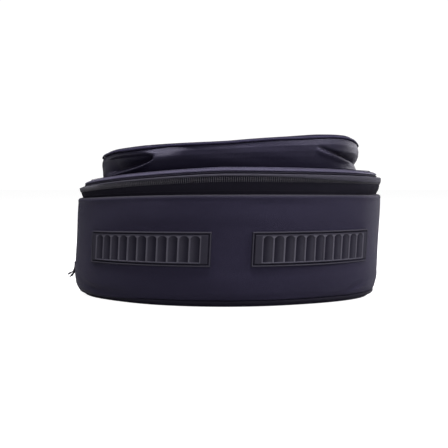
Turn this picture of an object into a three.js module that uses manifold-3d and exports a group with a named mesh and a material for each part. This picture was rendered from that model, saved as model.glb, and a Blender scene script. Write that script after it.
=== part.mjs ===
import * as THREE from 'three';
import { mergeVertices } from 'three/addons/utils/BufferGeometryUtils.js';
import Module from 'manifold-3d';

const wasm = await Module();
wasm.setup();

// Main sizes in millimetres: x across the bag, y from tail to head, z up from the floor
const LENGTH = 1090;
const HALF_WIDTH = 218;
const NECK_HALF = 73;
const FOOT = 28;
const HEM = 145;
const BAND = 28;

// How the filled cloth has settled: lean to the right, sag of each side, thinner neck. The
// band dips towards each side, and its shoulder drops further at the very edge
const LEAN = { wall: 7.2, band: 1.5 };
const SAG = {
  left: { wall: 10, band: 10.5, shoulder: 5 },
  right: { wall: 3.5, band: 1.5, shoulder: 3 },
};
const TAPER = { drop: 50, from: 380, to: 1000 };

// Bends of the right half of the outline, from the middle of the tail to the upper bout
const BODY_BENDS = [
  { bend: 'tail', radius: 245, turn: 46, steps: 6 },
  { bend: 'lower_bout', radius: 148.5, turn: 73, steps: 8 },
  { bend: 'waist', radius: 190, turn: -43, steps: 4 },
  { bend: 'upper_bout', radius: 125, turn: 66, steps: 5 },
];
const NECK_ROOT = { radius: 120, turn: -52, steps: 4 };
const HEAD_CORNER = { radius: 55, turn: 90, steps: 4 };
const NECK_STEPS = 3;

// Bends of the right half of the front pocket, from its edge nearest the tail
const POCKET_START = 36;
const POCKET_BENDS = [
  { bend: 'front', radius: 209, turn: 46, steps: 8 },
  { bend: 'corner', radius: 135, turn: 56, steps: 8 },
  { bend: 'side', length: 190, steps: 7 },
  { bend: 'far_corner', radius: 35, turn: 66, steps: 4 },
  { bend: 'far_end', radius: 480, turn: 12, steps: 4 },
];

// Sections round the outline: d is the distance inward from it, z the height
const GUSSET_SECTION = [
  { d: 3.5, z: HEM },
  { d: 0.6, z: HEM - 2.5 },
  { d: -0.8, z: HEM - 9 },
  { d: -1, z: HEM - 20 },
  { d: -1, z: 44 },
  { d: -0.6, z: 28 },
  { d: 0.4, z: 17 },
  { d: 3.4, z: 9.4 },
  { d: 12.5, z: 12.6 },
  { d: 12, z: HEM - 4 },
  { d: 9, z: HEM },
];
const BACK_EDGE = [
  { d: 13, z: 12.1 },
  { d: 9, z: 10.6 },
  { d: 7.7, z: 6.2 },
  { d: 9.5, z: 1.8 },
  { d: 15, z: 0 },
];
const BORDER_SECTION = [
  { d: -0.4, z: HEM + 23.4 },
  { d: -0.9, z: HEM + 25 },
  { d: -0.2, z: HEM + 26.8 },
  { d: 4.5, z: HEM + 26.8 },
  { d: 4.5, z: HEM + 23.4 },
];
const LID_EDGE = [
  { d: 14, z: HEM + 24 },
  { d: 5.2, z: HEM + 23.7 },
  { d: 5, z: HEM + 29.4 },
  { d: 1.8, z: HEM + 30.2 },
  { d: 1.8, z: HEM + 31.9 },
  { d: 9, z: HEM + 34 },
  { d: 22, z: HEM + 34.9 },
];
const LID_CROWN = { top: 1.8, under: 3, reach: 90 };

// Covered cords: radius, and where the middle of each lies
const BACK_PIPING = { radius: 2.4, d: 4.8, z: 6.9 };
const LID_PIPING = { radius: 1.3, d: 1.9, z: HEM + 28.3 };
const PIPING_SIDES = 6;

// Zip band: the tape leans out as it rises from behind the hem
const TAPE = { d: 5.6, z: HEM + 0.4, rise: 17.4, out: 3.4, thick: 1.2 };
const LOWER_TAPE = { from: HEM + 0.4, to: HEM + 19.3 };
const UPPER_TAPE = { from: HEM + 19.8, to: HEM + 23 };
const CHAIN = { from: HEM + 16, to: HEM + 22.8, gap: 0.35, thick: 1.65, bevel: 1.4 };
const SLIDER = { half: 4.5, from: HEM + 12.5, to: HEM + 23, inner: 2.4, outer: 4.6 };
const PULL = {
  half: 2.6,
  section: [
    { d: -1.2, z: HEM + 19 },
    { d: -3.4, z: HEM + 19 },
    { d: -4.6, z: HEM + 14 },
    { d: -4.6, z: HEM - 16 },
    { d: -3.2, z: HEM - 16 },
    { d: -3.2, z: HEM + 11 },
    { d: -1.2, z: HEM + 13 },
  ],
};

// Front pocket: cloth wall tucked in at its base, with a rim that rises to the right
const POCKET = { cloth: 2, seat: 0.75, crown: 2.5, reach: 110 };
const POCKET_SIDE = { from: 130, to: 186 };
const POCKET_PROFILE = [
  { up: 0, front: 6, left: 1.5, right: 3.5 },
  { up: 0.2, front: 3.6, left: 1, right: 6.5 },
  { up: 0.4, front: 1.6, left: 0.6, right: 3 },
  { up: 0.6, front: 0.3, left: 0.2, right: 0.6 },
  { up: 0.8, front: 0, left: 0, right: 0 },
  { up: 1, front: 1.6, left: 1.6, right: 1.6 },
];
const POCKET_RIM = [
  { x: -182, z: 192 },
  { x: -172, z: 198 },
  { x: -150, z: 202.5 },
  { x: -112, z: 205.7 },
  { x: -36, z: 208.6 },
  { x: 6, z: 210.2 },
  { x: 88, z: 217 },
  { x: 124, z: 220.5 },
  { x: 150, z: 222 },
  { x: 170, z: 221.5 },
  { x: 184, z: 218.5 },
  { x: 198, z: 210 },
];
const POCKET_PANEL_EDGE = [
  { d: 9, lift: 0.5 },
  { d: 4.6, lift: 0.4 },
  { d: 3.5, lift: 1.6 },
  { d: 4.4, lift: 3 },
  { d: 9, lift: 3.6 },
];
const POCKET_PIPING = { radius: 1.6, d: 1.3, lift: 2.1 };
const POCKET_ZIP = { half: 80, from: 0.3, to: 0.75, gap: 0.4, thick: 1 };
const POCKET_SLIDER = { x: 62, half: 4, from: 0.36, to: 0.68, gap: 1.8, thick: 2.2 };

// Dents of the pocket wall: from a tip to an end, half width at both, what is left at the end
const DENTS = [
  { dent: 'left_hollow', x0: -104, up0: 0.66, half0: 0.1, x1: -186, up1: 0.46, half1: 0.32 },
  { dent: 'left_tuck', x0: -80, up0: 0.16, half0: 0.12, x1: -168, up1: 0, half1: 0.1 },
  { dent: 'right_hollow', x0: 118, up0: 0.68, half0: 0.1, x1: 184, up1: 0.24, half1: 0.15 },
];
const DENT_DEPTH = {
  left_hollow: { most: 9, end: 0 },
  left_tuck: { most: 5, end: 0 },
  right_hollow: { most: 8, end: 0.2 },
};
const DENT_END = { from: 215, to: 300 };

// Scuff plates: a frame line, a groove and a plate of cells between ribs
const BUMPER = { start: 25.8, shift: 5, length: 184, low: 53, high: 98, inner: -1.4, outer: -4.2 };
const BUMPER_FRAME = { bar: 1.5, groove: 1.5, floor: -2.4 };
const BUMPER_CELLS = { count: 11, first: 14.2, pitch: 14.5, wide: 12.4, low: 58.8, high: 92 };
const CELL_FLOOR = { near: -2.4, far: -3.6 };
const CUT_REACH = -7;

// Webbing tab on the left side, two plies that part below its root
const TAB = { v: 184, half: 12 };
const TAB_SECTION = [
  { out: 1.5, z: 45 },
  { out: 1.4, z: 39 },
  { out: 3.8, z: 29.5 },
  { out: 8.4, z: 20.4 },
  { out: 10, z: 21.4 },
  { out: 6.6, z: 27.6 },
  { out: 11.4, z: 24.9 },
  { out: 12.2, z: 26.4 },
  { out: 5.8, z: 31 },
  { out: 3.1, z: 39 },
  { out: 3.2, z: 45 },
];

// Materials: colour, roughness and sheen of each kind of cloth, rubber and metal
const LOOKS = {
  nylon: { color: 0x2b2a35, roughness: 0.72, metalness: 0 },
  lid: { color: 0x37353f, roughness: 0.7, metalness: 0 },
  pocket: { color: 0x3d3b47, roughness: 0.66, metalness: 0 },
  tape: { color: 0x17161c, roughness: 0.85, metalness: 0 },
  chain: { color: 0x2b2a30, roughness: 0.5, metalness: 0 },
  border: { color: 0x45434d, roughness: 0.65, metalness: 0 },
  piping: { color: 0x2f2d38, roughness: 0.6, metalness: 0 },
  rubber: { color: 0x34333a, roughness: 0.5, metalness: 0 },
  webbing: { color: 0x15141a, roughness: 0.85, metalness: 0 },
  slider: { color: 0x1d1d20, roughness: 0.4, metalness: 0.7 },
};

const radians = THREE.MathUtils.degToRad;
const smooth = THREE.MathUtils.smoothstep;
const clamp = THREE.MathUtils.clamp;

// Settles a point of the plump shape into the shape the filled cloth has on the floor
function settle(x, v, z) {
  const side = x < 0 ? SAG.left : SAG.right;
  const u = Math.abs(x) / HALF_WIDTH;
  const wall = clamp((z - FOOT) / (HEM - FOOT), 0, 1);
  const band = clamp((z - HEM) / BAND, 0, 1);
  const body = 1 - smooth(v, TAPER.from, TAPER.to);
  const dip = side.band * u + side.shoulder * u ** 6;
  const sag = wall * side.wall * u * u + band * dip;
  const drop = sag * body + wall * TAPER.drop * (1 - body);
  const lean = LEAN.wall * clamp(z / HEM, 0, 1) + LEAN.band * band;
  return new THREE.Vector3(x + lean * body, v - LENGTH / 2, z - drop);
}

// Points along straights and bends, starting in the middle and heading to the right
function walk(start, rows) {
  const at = start.clone();
  const points = [at.clone()];
  let heading = 0;
  for (const row of rows) {
    const turn = radians(row.turn ?? 0) / row.steps;
    const chord = row.radius
      ? 2 * row.radius * Math.sin(Math.abs(turn) / 2)
      : row.length / row.steps;
    for (let i = 0; i < row.steps; i += 1) {
      heading += turn / 2;
      at.x += chord * Math.cos(heading);
      at.y += chord * Math.sin(heading);
      heading += turn / 2;
      points.push(at.clone());
    }
  }
  return points;
}

// A closed outline from its right half and the mirror of it
function mirrored(half) {
  const left = half.slice(1).reverse().map((p) => new THREE.Vector2(-p.x, p.y));
  return [...half, ...left];
}

// The outline moved inward by a distance, keeping every edge parallel
function inset(loop, d) {
  const n = loop.length;
  return loop.map((p, i) => {
    const a = p.clone().sub(loop[(i + n - 1) % n]).normalize();
    const b = loop[(i + 1) % n].clone().sub(p).normalize();
    const inward = new THREE.Vector2(-a.y - b.y, a.x + b.x);
    return inward.multiplyScalar(d / (1 + a.dot(b))).add(p);
  });
}

// A closed solid from corner points and faces, turned so that its outside faces out
function solid(points, faces) {
  let volume = 0;
  for (const [a, b, c] of faces) {
    volume += points[a].dot(points[b].clone().cross(points[c]));
  }
  const turned = volume < 0 ? faces.map(([a, b, c]) => [a, c, b]) : faces;
  const geometry = new THREE.BufferGeometry().setFromPoints(points);
  geometry.setIndex(turned.flat());
  geometry.computeVertexNormals();
  return geometry;
}

// Faces between two closed rails of equal length
function band(faces, a, b, n) {
  for (let i = 0; i < n; i += 1) {
    const j = (i + 1) % n;
    faces.push([a + i, b + i, b + j], [a + i, b + j, a + j]);
  }
}

// A closed ring from rails that run round the outline
function ringFromRails(rails) {
  const n = rails[0].length;
  const faces = [];
  for (let k = 0; k < rails.length; k += 1) {
    band(faces, k * n, ((k + 1) % rails.length) * n, n);
  }
  return solid(rails.flat(), faces);
}

function ring(loop, section) {
  const rail = ({ d, z }) => inset(loop, d).map((p) => settle(p.x, p.y, z));
  return ringFromRails(section.map(rail));
}

function cordSection({ radius, d, z }) {
  const corner = (_, i) => {
    const angle = ((i + 0.5) / PIPING_SIDES) * 2 * Math.PI;
    return { d: d + radius * Math.cos(angle), z: z + radius * Math.sin(angle) };
  };
  return Array.from({ length: PIPING_SIDES }, corner);
}

// Shortest distance from a point to the edge of an outline
function depthIn(loop, p) {
  const near = new THREE.Vector3();
  const at = new THREE.Vector3(p.x, p.y, 0);
  const line = new THREE.Line3();
  let least = Infinity;
  loop.forEach((q, i) => {
    const r = loop[(i + 1) % loop.length];
    line.start.set(q.x, q.y, 0);
    line.end.set(r.x, r.y, 0);
    line.closestPointToPoint(at, true, near);
    least = Math.min(least, near.distanceTo(at));
  });
  return least;
}

// Faces between two rows of corners that may differ in number
function stitch(faces, a, b) {
  let i = 0;
  let j = 0;
  while (i < a.length - 1 || j < b.length - 1) {
    const nextA = i < a.length - 1 ? (i + 1) / (a.length - 1) : Infinity;
    const nextB = j < b.length - 1 ? (j + 1) / (b.length - 1) : Infinity;
    if (nextA <= nextB) {
      faces.push([a[i], a[i + 1], b[j]]);
      i += 1;
    } else {
      faces.push([a[i], b[j + 1], b[j]]);
      j += 1;
    }
  }
}

// Rows of corners across the inside of a ring, from its first corner to its last edge
function fill(points, faces, first, loop, across, lift) {
  const half = (loop.length - 1) / 2;
  const rows = [[first]];
  for (let k = 1; k <= half; k += 1) {
    const right = loop[k];
    const left = loop[loop.length - k];
    const row = [first + k];
    for (let m = 1; m < across && k < half; m += 1) {
      points.push(lift(right.clone().lerp(left, m / across)));
      row.push(points.length - 1);
    }
    row.push(first + loop.length - k);
    rows.push(row);
  }
  for (let k = 0; k < half; k += 1) {
    stitch(faces, rows[k], rows[k + 1]);
  }
}

// A panel: its edge from one face round to the other, each face filled across
function panel(loop, edge, place, across, firstLift, lastLift) {
  const n = loop.length;
  const loops = edge.map(({ d }) => inset(loop, d));
  const points = edge.flatMap((row, k) => loops[k].map((p) => place(p, row)));
  const faces = [];
  for (let k = 0; k < edge.length - 1; k += 1) {
    band(faces, k * n, (k + 1) * n, n);
  }
  const under = [];
  fill(points, under, 0, loops[0], across, (p) => firstLift(p, loops[0]));
  faces.push(...under.map(([a, b, c]) => [a, c, b]));
  const top = edge.length - 1;
  fill(points, faces, top * n, loops[top], across, (p) => lastLift(p, loops[top]));
  return solid(points, orient(faces));
}

// Turns the faces so that neighbours agree, starting from the first
function orient(faces) {
  const edges = new Map();
  const key = (a, b) => (a < b ? `${a}_${b}` : `${b}_${a}`);
  faces.forEach((face, f) => {
    face.forEach((a, i) => {
      const name = key(a, face[(i + 1) % 3]);
      edges.set(name, [...(edges.get(name) ?? []), f]);
    });
  });
  const done = new Set([0]);
  const queue = [0];
  const runs = (f, a, b) => faces[f].some((c, i) => c === a && faces[f][(i + 1) % 3] === b);
  while (queue.length) {
    const f = queue.pop();
    faces[f].forEach((a, i) => {
      const b = faces[f][(i + 1) % 3];
      for (const g of edges.get(key(a, b))) {
        if (!done.has(g)) {
          if (runs(g, a, b)) {
            faces[g].reverse();
          }
          done.add(g);
          queue.push(g);
        }
      }
    });
  }
  return faces;
}

// A prism: a flat outline of corners carried from one end to the other
function prism(corners, near, far) {
  const n = corners.length;
  const points = [...corners.map(near), ...corners.map(far)];
  const flat = corners.map(({ d, out, z }) => new THREE.Vector2(d ?? out, z));
  const caps = THREE.ShapeUtils.triangulateShape(flat, []);
  const faces = caps.map(([a, b, c]) => [a, b, c]);
  faces.push(...caps.map(([a, b, c]) => [a + n, c + n, b + n]));
  band(faces, 0, n, n);
  return solid(points, orient(faces));
}

function toManifold(geometry) {
  const plain = new THREE.BufferGeometry();
  plain.setAttribute('position', geometry.getAttribute('position'));
  plain.setIndex(geometry.getIndex());
  const merged = mergeVertices(plain, 1e-4);
  const mesh = new wasm.Mesh({
    numProp: 3,
    vertProperties: new Float32Array(merged.getAttribute('position').array),
    triVerts: new Uint32Array(merged.getIndex().array),
  });
  return new wasm.Manifold(mesh);
}

function fromManifold(shape, place) {
  const mesh = shape.getMesh();
  const points = [];
  for (let i = 0; i < mesh.vertProperties.length; i += mesh.numProp) {
    points.push(place(...mesh.vertProperties.slice(i, i + 3)));
  }
  const faces = [];
  for (let i = 0; i < mesh.triVerts.length; i += 3) {
    faces.push(Array.from(mesh.triVerts.slice(i, i + 3)));
  }
  return solid(points, faces);
}

// Height of a finished surface above the floor at one place
function heightOn(geometry, x, y) {
  const mesh = new THREE.Mesh(geometry, new THREE.MeshBasicMaterial({ side: THREE.DoubleSide }));
  const ray = new THREE.Raycaster(new THREE.Vector3(x, y, 1000), new THREE.Vector3(0, 0, -1));
  return ray.intersectObject(mesh)[0].point.z;
}

const group = new THREE.Group();
group.name = 'acoustic_guitar_bag';

function add(name, geometry, look) {
  const mesh = new THREE.Mesh(geometry, new THREE.MeshStandardMaterial(LOOKS[look]));
  mesh.name = name;
  group.add(mesh);
  return geometry;
}

// Outline of the whole bag, its shoulder and neck lengths found from the sizes above
const bodyEnd = walk(new THREE.Vector2(0, 0), BODY_BENDS).at(-1);
const shoulderTurn = radians(-NECK_ROOT.turn);
const rootIn = NECK_ROOT.radius * (1 - Math.cos(shoulderTurn));
const rootUp = NECK_ROOT.radius * Math.sin(shoulderTurn);
const shoulder = (bodyEnd.x - NECK_HALF - rootIn) / Math.sin(shoulderTurn);
const neckStart = bodyEnd.y + shoulder * Math.cos(shoulderTurn) + rootUp;
const OUTLINE = mirrored(walk(new THREE.Vector2(0, 0), [
  ...BODY_BENDS,
  { bend: 'shoulder', length: shoulder, steps: 1 },
  { bend: 'neck_root', ...NECK_ROOT },
  { bend: 'neck', length: LENGTH - HEAD_CORNER.radius - neckStart, steps: NECK_STEPS },
  { bend: 'head_corner', ...HEAD_CORNER },
]));

// Padded back and side wall with the covered cord between them
const onEdge = (p, row) => settle(p.x, p.y, row.z);
const flatAt = (z) => (p) => settle(p.x, p.y, z);
const backTop = flatAt(BACK_EDGE[0].z);
const backUnder = flatAt(BACK_EDGE.at(-1).z);
add('back_panel', panel(OUTLINE, BACK_EDGE, onEdge, 1, backTop, backUnder), 'nylon');
add('back_piping', ring(OUTLINE, cordSection(BACK_PIPING)), 'piping');
add('gusset', ring(OUTLINE, GUSSET_SECTION), 'nylon');

// Zip band
const tapeD = (z) => TAPE.d - ((z - TAPE.z) / TAPE.rise) * TAPE.out;
function tapeSection({ from, to }) {
  return [
    { d: tapeD(from), z: from },
    { d: tapeD(to), z: to },
    { d: tapeD(to) + TAPE.thick, z: to },
    { d: tapeD(from) + TAPE.thick, z: from },
  ];
}
function chainSection({ from, to, gap, thick, bevel }) {
  const outer = gap + thick;
  return [
    { d: tapeD(from) - gap, z: from },
    { d: tapeD(from + bevel) - outer, z: from + bevel },
    { d: tapeD(to - bevel) - outer, z: to - bevel },
    { d: tapeD(to) - gap, z: to },
  ];
}
add('zip_tape_lower', ring(OUTLINE, tapeSection(LOWER_TAPE)), 'tape');
add('zip_tape_upper', ring(OUTLINE, tapeSection(UPPER_TAPE)), 'tape');
add('zip_chain', ring(OUTLINE, chainSection(CHAIN)), 'chain');

// Slider of the main zip at the head end, with its pull hanging down
const atHead = (x) => ({ d, z }) => new THREE.Vector3(x, LENGTH - d, z);
const sliderSection = [
  { d: tapeD(SLIDER.from) - SLIDER.inner, z: SLIDER.from },
  { d: tapeD(SLIDER.to) - SLIDER.inner, z: SLIDER.to },
  { d: tapeD(SLIDER.to) - SLIDER.outer, z: SLIDER.to },
  { d: tapeD(SLIDER.from) - SLIDER.outer, z: SLIDER.from },
];
const sliderBody = toManifold(prism(sliderSection, atHead(-SLIDER.half), atHead(SLIDER.half)));
const sliderPull = toManifold(prism(PULL.section, atHead(-PULL.half), atHead(PULL.half)));
add('zip_slider', fromManifold(sliderBody.add(sliderPull), settle), 'slider');

// Lid with its border strip and covered cord
add('lid_border', ring(OUTLINE, BORDER_SECTION), 'border');
add('lid_piping', ring(OUTLINE, cordSection(LID_PIPING)), 'piping');
const swell = (loop, p, reach) => 1 - (1 - Math.min(depthIn(loop, p) / reach, 1)) ** 2;
const lidUnder = (p, loop) => {
  const rise = LID_CROWN.under * swell(loop, p, LID_CROWN.reach);
  return settle(p.x, p.y, LID_EDGE[0].z + rise);
};
const lidTop = (p, loop) => {
  const rise = LID_CROWN.top * swell(loop, p, LID_CROWN.reach);
  return settle(p.x, p.y, LID_EDGE.at(-1).z + rise);
};
const lid = add('lid_panel', panel(OUTLINE, LID_EDGE, onEdge, 4, lidUnder, lidTop), 'lid');

// Front pocket standing on the lid
const POCKET_OUTLINE = mirrored(walk(new THREE.Vector2(0, POCKET_START), POCKET_BENDS));
const pocketLean = LEAN.wall + LEAN.band;
const pocketY = (v) => v - LENGTH / 2;

// Height of the pocket's rim, between the rows of its table
function pocketTop(x) {
  const k = clamp(POCKET_RIM.findIndex((row) => row.x > x), 1, POCKET_RIM.length - 1);
  const low = POCKET_RIM[k - 1];
  const high = POCKET_RIM[k];
  return low.z + ((high.z - low.z) * (x - low.x)) / (high.x - low.x);
}

// How far the wall is pushed in at a place, summed over the dents
function dentAt(x, up) {
  let depth = 0;
  for (const { dent, x0, up0, half0, x1, up1, half1 } of DENTS) {
    const along = clamp((x - x0) / (x1 - x0), 0, 1);
    const middle = up0 + (up1 - up0) * along;
    const half = half0 + (half1 - half0) * along;
    const { most, end } = DENT_DEPTH[dent];
    const reach = smooth(along, 0, 0.4) * (1 - (1 - end) * smooth(along, 0.65, 1));
    depth += most * reach * Math.exp(-(((up - middle) / half) ** 2));
  }
  return depth;
}

// How far the wall stands in from the outline, front and sides blended
function tuckAt(x, row) {
  const share = smooth(Math.abs(x), POCKET_SIDE.from, POCKET_SIDE.to);
  const side = x < 0 ? row.left : row.right;
  return row.front + (side - row.front) * share;
}

// A rail of the pocket wall: a row of its profile, moved in by the cloth's thickness or not
const pocketIn = inset(POCKET_OUTLINE, 1).map((p, i) => p.sub(POCKET_OUTLINE[i]));
function pocketRail(row, cloth) {
  return POCKET_OUTLINE.map((p, i) => {
    const near = 1 - smooth(p.y, DENT_END.from, DENT_END.to);
    const inward = cloth + tuckAt(p.x, row) + near * dentAt(p.x, row.up);
    const at = p.clone().addScaledVector(pocketIn[i], inward);
    const x = at.x + pocketLean;
    const y = pocketY(at.y);
    const base = heightOn(lid, x, y) + POCKET.seat;
    return new THREE.Vector3(x, y, base + row.up * (pocketTop(x) - base));
  });
}

const pocketOuter = POCKET_PROFILE.map((row) => pocketRail(row, 0));
const pocketInner = POCKET_PROFILE.map((row) => pocketRail(row, POCKET.cloth)).reverse();
add('pocket_wall', ringFromRails([...pocketOuter, ...pocketInner]), 'pocket');

const onPocket = (p, lift) => {
  const x = p.x + pocketLean;
  return new THREE.Vector3(x, pocketY(p.y), pocketTop(x) + lift);
};
const pocketEdge = (p, row) => onPocket(p, row.lift);
const pocketDome = (base) => (p, loop) => {
  return onPocket(p, base + POCKET.crown * swell(loop, p, POCKET.reach));
};
const faceUnder = pocketDome(POCKET_PANEL_EDGE[0].lift);
const faceTop = pocketDome(POCKET_PANEL_EDGE.at(-1).lift);
const pocketFace = panel(POCKET_OUTLINE, POCKET_PANEL_EDGE, pocketEdge, 4, faceUnder, faceTop);
add('pocket_panel', pocketFace, 'pocket');
const pocketCord = cordSection({ ...POCKET_PIPING, z: POCKET_PIPING.lift });
const cordRail = ({ d, z }) => inset(POCKET_OUTLINE, d).map((p) => onPocket(p, z));
add('pocket_piping', ringFromRails(pocketCord.map(cordRail)), 'piping');

// Zip on the pocket's far wall, with its slider
const wallRight = (POCKET_OUTLINE.length - 1) / 2;
function onFarWall(x, up, out) {
  const column = pocketOuter.map((rail) => {
    const share = (x - rail[wallRight].x) / (rail[wallRight + 1].x - rail[wallRight].x);
    return rail[wallRight].clone().lerp(rail[wallRight + 1], share);
  });
  const k = POCKET_PROFILE.findIndex((row) => row.up >= up);
  const low = POCKET_PROFILE[k - 1].up;
  const share = (up - low) / (POCKET_PROFILE[k].up - low);
  const at = column[k - 1].clone().lerp(column[k], share);
  return at.add(new THREE.Vector3(0, out, 0));
}
function onFarSection({ from, to, gap, thick }) {
  const ups = POCKET_PROFILE.map((row) => row.up).filter((up) => up > from && up < to);
  const rising = [from, ...ups, to];
  const inner = rising.map((up) => ({ d: gap, z: up }));
  const outer = rising.map((up) => ({ d: gap + thick, z: up })).reverse();
  return [...inner, ...outer];
}
function farStrip(size, left, right) {
  const end = (x) => ({ d, z }) => onFarWall(x, z, d);
  return prism(onFarSection(size), end(left), end(right));
}
const zipLeft = pocketLean - POCKET_ZIP.half;
const zipRight = pocketLean + POCKET_ZIP.half;
add('pocket_zip', farStrip(POCKET_ZIP, zipLeft, zipRight), 'tape');
const sliderLeft = POCKET_SLIDER.x - POCKET_SLIDER.half;
const sliderRight = POCKET_SLIDER.x + POCKET_SLIDER.half;
add('pocket_zip_slider', farStrip(POCKET_SLIDER, sliderLeft, sliderRight), 'slider');

// Places along the right half of the outline, by the length walked from the tail
const walked = [0];
for (let i = 1; i <= (OUTLINE.length - 1) / 2; i += 1) {
  walked.push(walked[i - 1] + OUTLINE[i].distanceTo(OUTLINE[i - 1]));
}
function onWall(s, d) {
  const i = walked.findIndex((length) => length > s) - 1;
  const share = (s - walked[i]) / (walked[i + 1] - walked[i]);
  const moved = inset(OUTLINE, d);
  return moved[i].clone().lerp(moved[i + 1], share);
}

// A slab that follows the wall between two places, its inner side at a depth for each end
function wallSlab({ from, to, low, high, inner, innerEnd = inner, outer }) {
  const stops = [from, ...walked.filter((s) => s > from && s < to), to];
  const points = [];
  for (const s of stops) {
    const back = onWall(s, inner + ((innerEnd - inner) * (s - from)) / (to - from));
    const front = onWall(s, outer);
    points.push(new THREE.Vector3(back.x, back.y, low));
    points.push(new THREE.Vector3(front.x, front.y, low));
    points.push(new THREE.Vector3(front.x, front.y, high));
    points.push(new THREE.Vector3(back.x, back.y, high));
  }
  const faces = [[0, 1, 2], [0, 2, 3]];
  for (let k = 0; k < stops.length - 1; k += 1) {
    band(faces, k * 4, k * 4 + 4, 4);
  }
  const last = points.length - 4;
  faces.push([last, last + 2, last + 1], [last, last + 3, last + 2]);
  return toManifold(solid(points, orient(faces)));
}

// A plate that begins at a place on the wall: a groove inside its frame line, then the cells
function scuffPlate(start) {
  const end = start + BUMPER.length;
  const slab = (by, inner, outer) => wallSlab({
    from: start + by,
    to: end - by,
    low: BUMPER.low + by,
    high: BUMPER.high - by,
    inner,
    outer,
  });
  const { bar, groove, floor } = BUMPER_FRAME;
  const cut = slab(bar, floor, CUT_REACH).subtract(slab(bar + groove, floor + 1, CUT_REACH - 1));
  let plate = slab(0, BUMPER.inner, BUMPER.outer).subtract(cut);
  for (let i = 0; i < BUMPER_CELLS.count; i += 1) {
    const from = start + BUMPER_CELLS.first + i * BUMPER_CELLS.pitch;
    const cell = {
      from,
      to: from + BUMPER_CELLS.wide,
      low: BUMPER_CELLS.low,
      high: BUMPER_CELLS.high,
      inner: CELL_FLOOR.near,
      innerEnd: CELL_FLOOR.far,
      outer: CUT_REACH,
    };
    plate = plate.subtract(wallSlab(cell));
  }
  return plate;
}
const mirroredPlace = (x, v, z) => settle(-x, v, z);
const rightPlate = scuffPlate(BUMPER.start + BUMPER.shift);
const leftPlate = scuffPlate(BUMPER.start - BUMPER.shift);
add('bumper_right', fromManifold(rightPlate, settle), 'rubber');
add('bumper_left', fromManifold(leftPlate, mirroredPlace), 'rubber');

// Webbing tab at the foot of the left side
const widest = Math.max(...OUTLINE.map((p) => p.x));
const tabEnd = (v) => ({ out, z }) => settle(-widest - out, v, z);
add('strap_tab', prism(TAB_SECTION, tabEnd(TAB.v - TAB.half), tabEnd(TAB.v + TAB.half)), 'webbing');

export default group;
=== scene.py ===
import math

import bmesh
import bpy
import numpy as np
from bpy.props import FloatProperty, FloatVectorProperty, IntProperty, PointerProperty
from bpy.types import Operator, Panel, PropertyGroup
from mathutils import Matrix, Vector


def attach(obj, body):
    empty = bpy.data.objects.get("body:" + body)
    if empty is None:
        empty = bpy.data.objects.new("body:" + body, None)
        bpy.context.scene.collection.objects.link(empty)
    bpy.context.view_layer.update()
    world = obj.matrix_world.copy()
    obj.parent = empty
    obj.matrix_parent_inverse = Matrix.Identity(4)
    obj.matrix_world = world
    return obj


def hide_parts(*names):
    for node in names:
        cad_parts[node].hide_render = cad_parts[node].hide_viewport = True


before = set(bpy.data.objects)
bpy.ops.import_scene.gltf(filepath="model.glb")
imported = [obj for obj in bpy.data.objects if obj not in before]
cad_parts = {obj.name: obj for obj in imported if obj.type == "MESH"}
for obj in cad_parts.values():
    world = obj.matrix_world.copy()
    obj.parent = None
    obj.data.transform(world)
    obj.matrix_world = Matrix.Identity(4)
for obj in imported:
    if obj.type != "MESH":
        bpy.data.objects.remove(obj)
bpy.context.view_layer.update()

bl_info = {
    "name": "Acoustic guitar bag",
    "version": (1, 0, 0),
    "blender": (4, 5, 0),
    "location": "3D View > Sidebar > Guitar Bag",
    "description": "Builds a padded guitar bag with its zip, scuff plates and front pocket",
    "category": "Object",
}

MM = 0.001
ROOT = "root"

# How finely the pieces are made: steps along an outline, places round a cord and across a panel
WALK_STEP = 0.5 * MM
CLOSING_STEPS = 40
POCKET_STATION = 0.003
CORD_SIDES = 12
BACK_ACROSS, LID_ACROSS, FACE_ACROSS = 8, 36, 40


def table(columns, *rows):
    """Rows of named values, with the names given once for all of them."""
    names = columns.split()
    return [dict(zip(names, row)) for row in rows]


def column(rows, name):
    """The values of one name in every row of a table."""
    return [row[name] for row in rows]


# Bends of the right half of the outline, from the middle of the tail to the upper bout
BODY_BENDS = [
    {"bend": "tail", "radius": 0.245, "turn": 46},
    {"bend": "lower_bout", "radius": 0.1485, "turn": 73},
    {"bend": "waist", "radius": 0.190, "turn": -43},
    {"bend": "upper_bout", "radius": 0.125, "turn": 66},
]
NECK_ROOT = {"bend": "neck_root", "radius": 0.120, "turn": -52}
HEAD_CORNER = {"bend": "head_corner", "radius": 0.055, "turn": 90}
POCKET_BENDS = [
    {"bend": "front", "radius": 0.209, "turn": 46},
    {"bend": "corner", "radius": 0.135, "turn": 56},
    {"bend": "side", "length": 0.190},
    {"bend": "far_corner", "radius": 0.035, "turn": 66},
    {"bend": "far_end", "radius": 0.480, "turn": 12},
]

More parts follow.
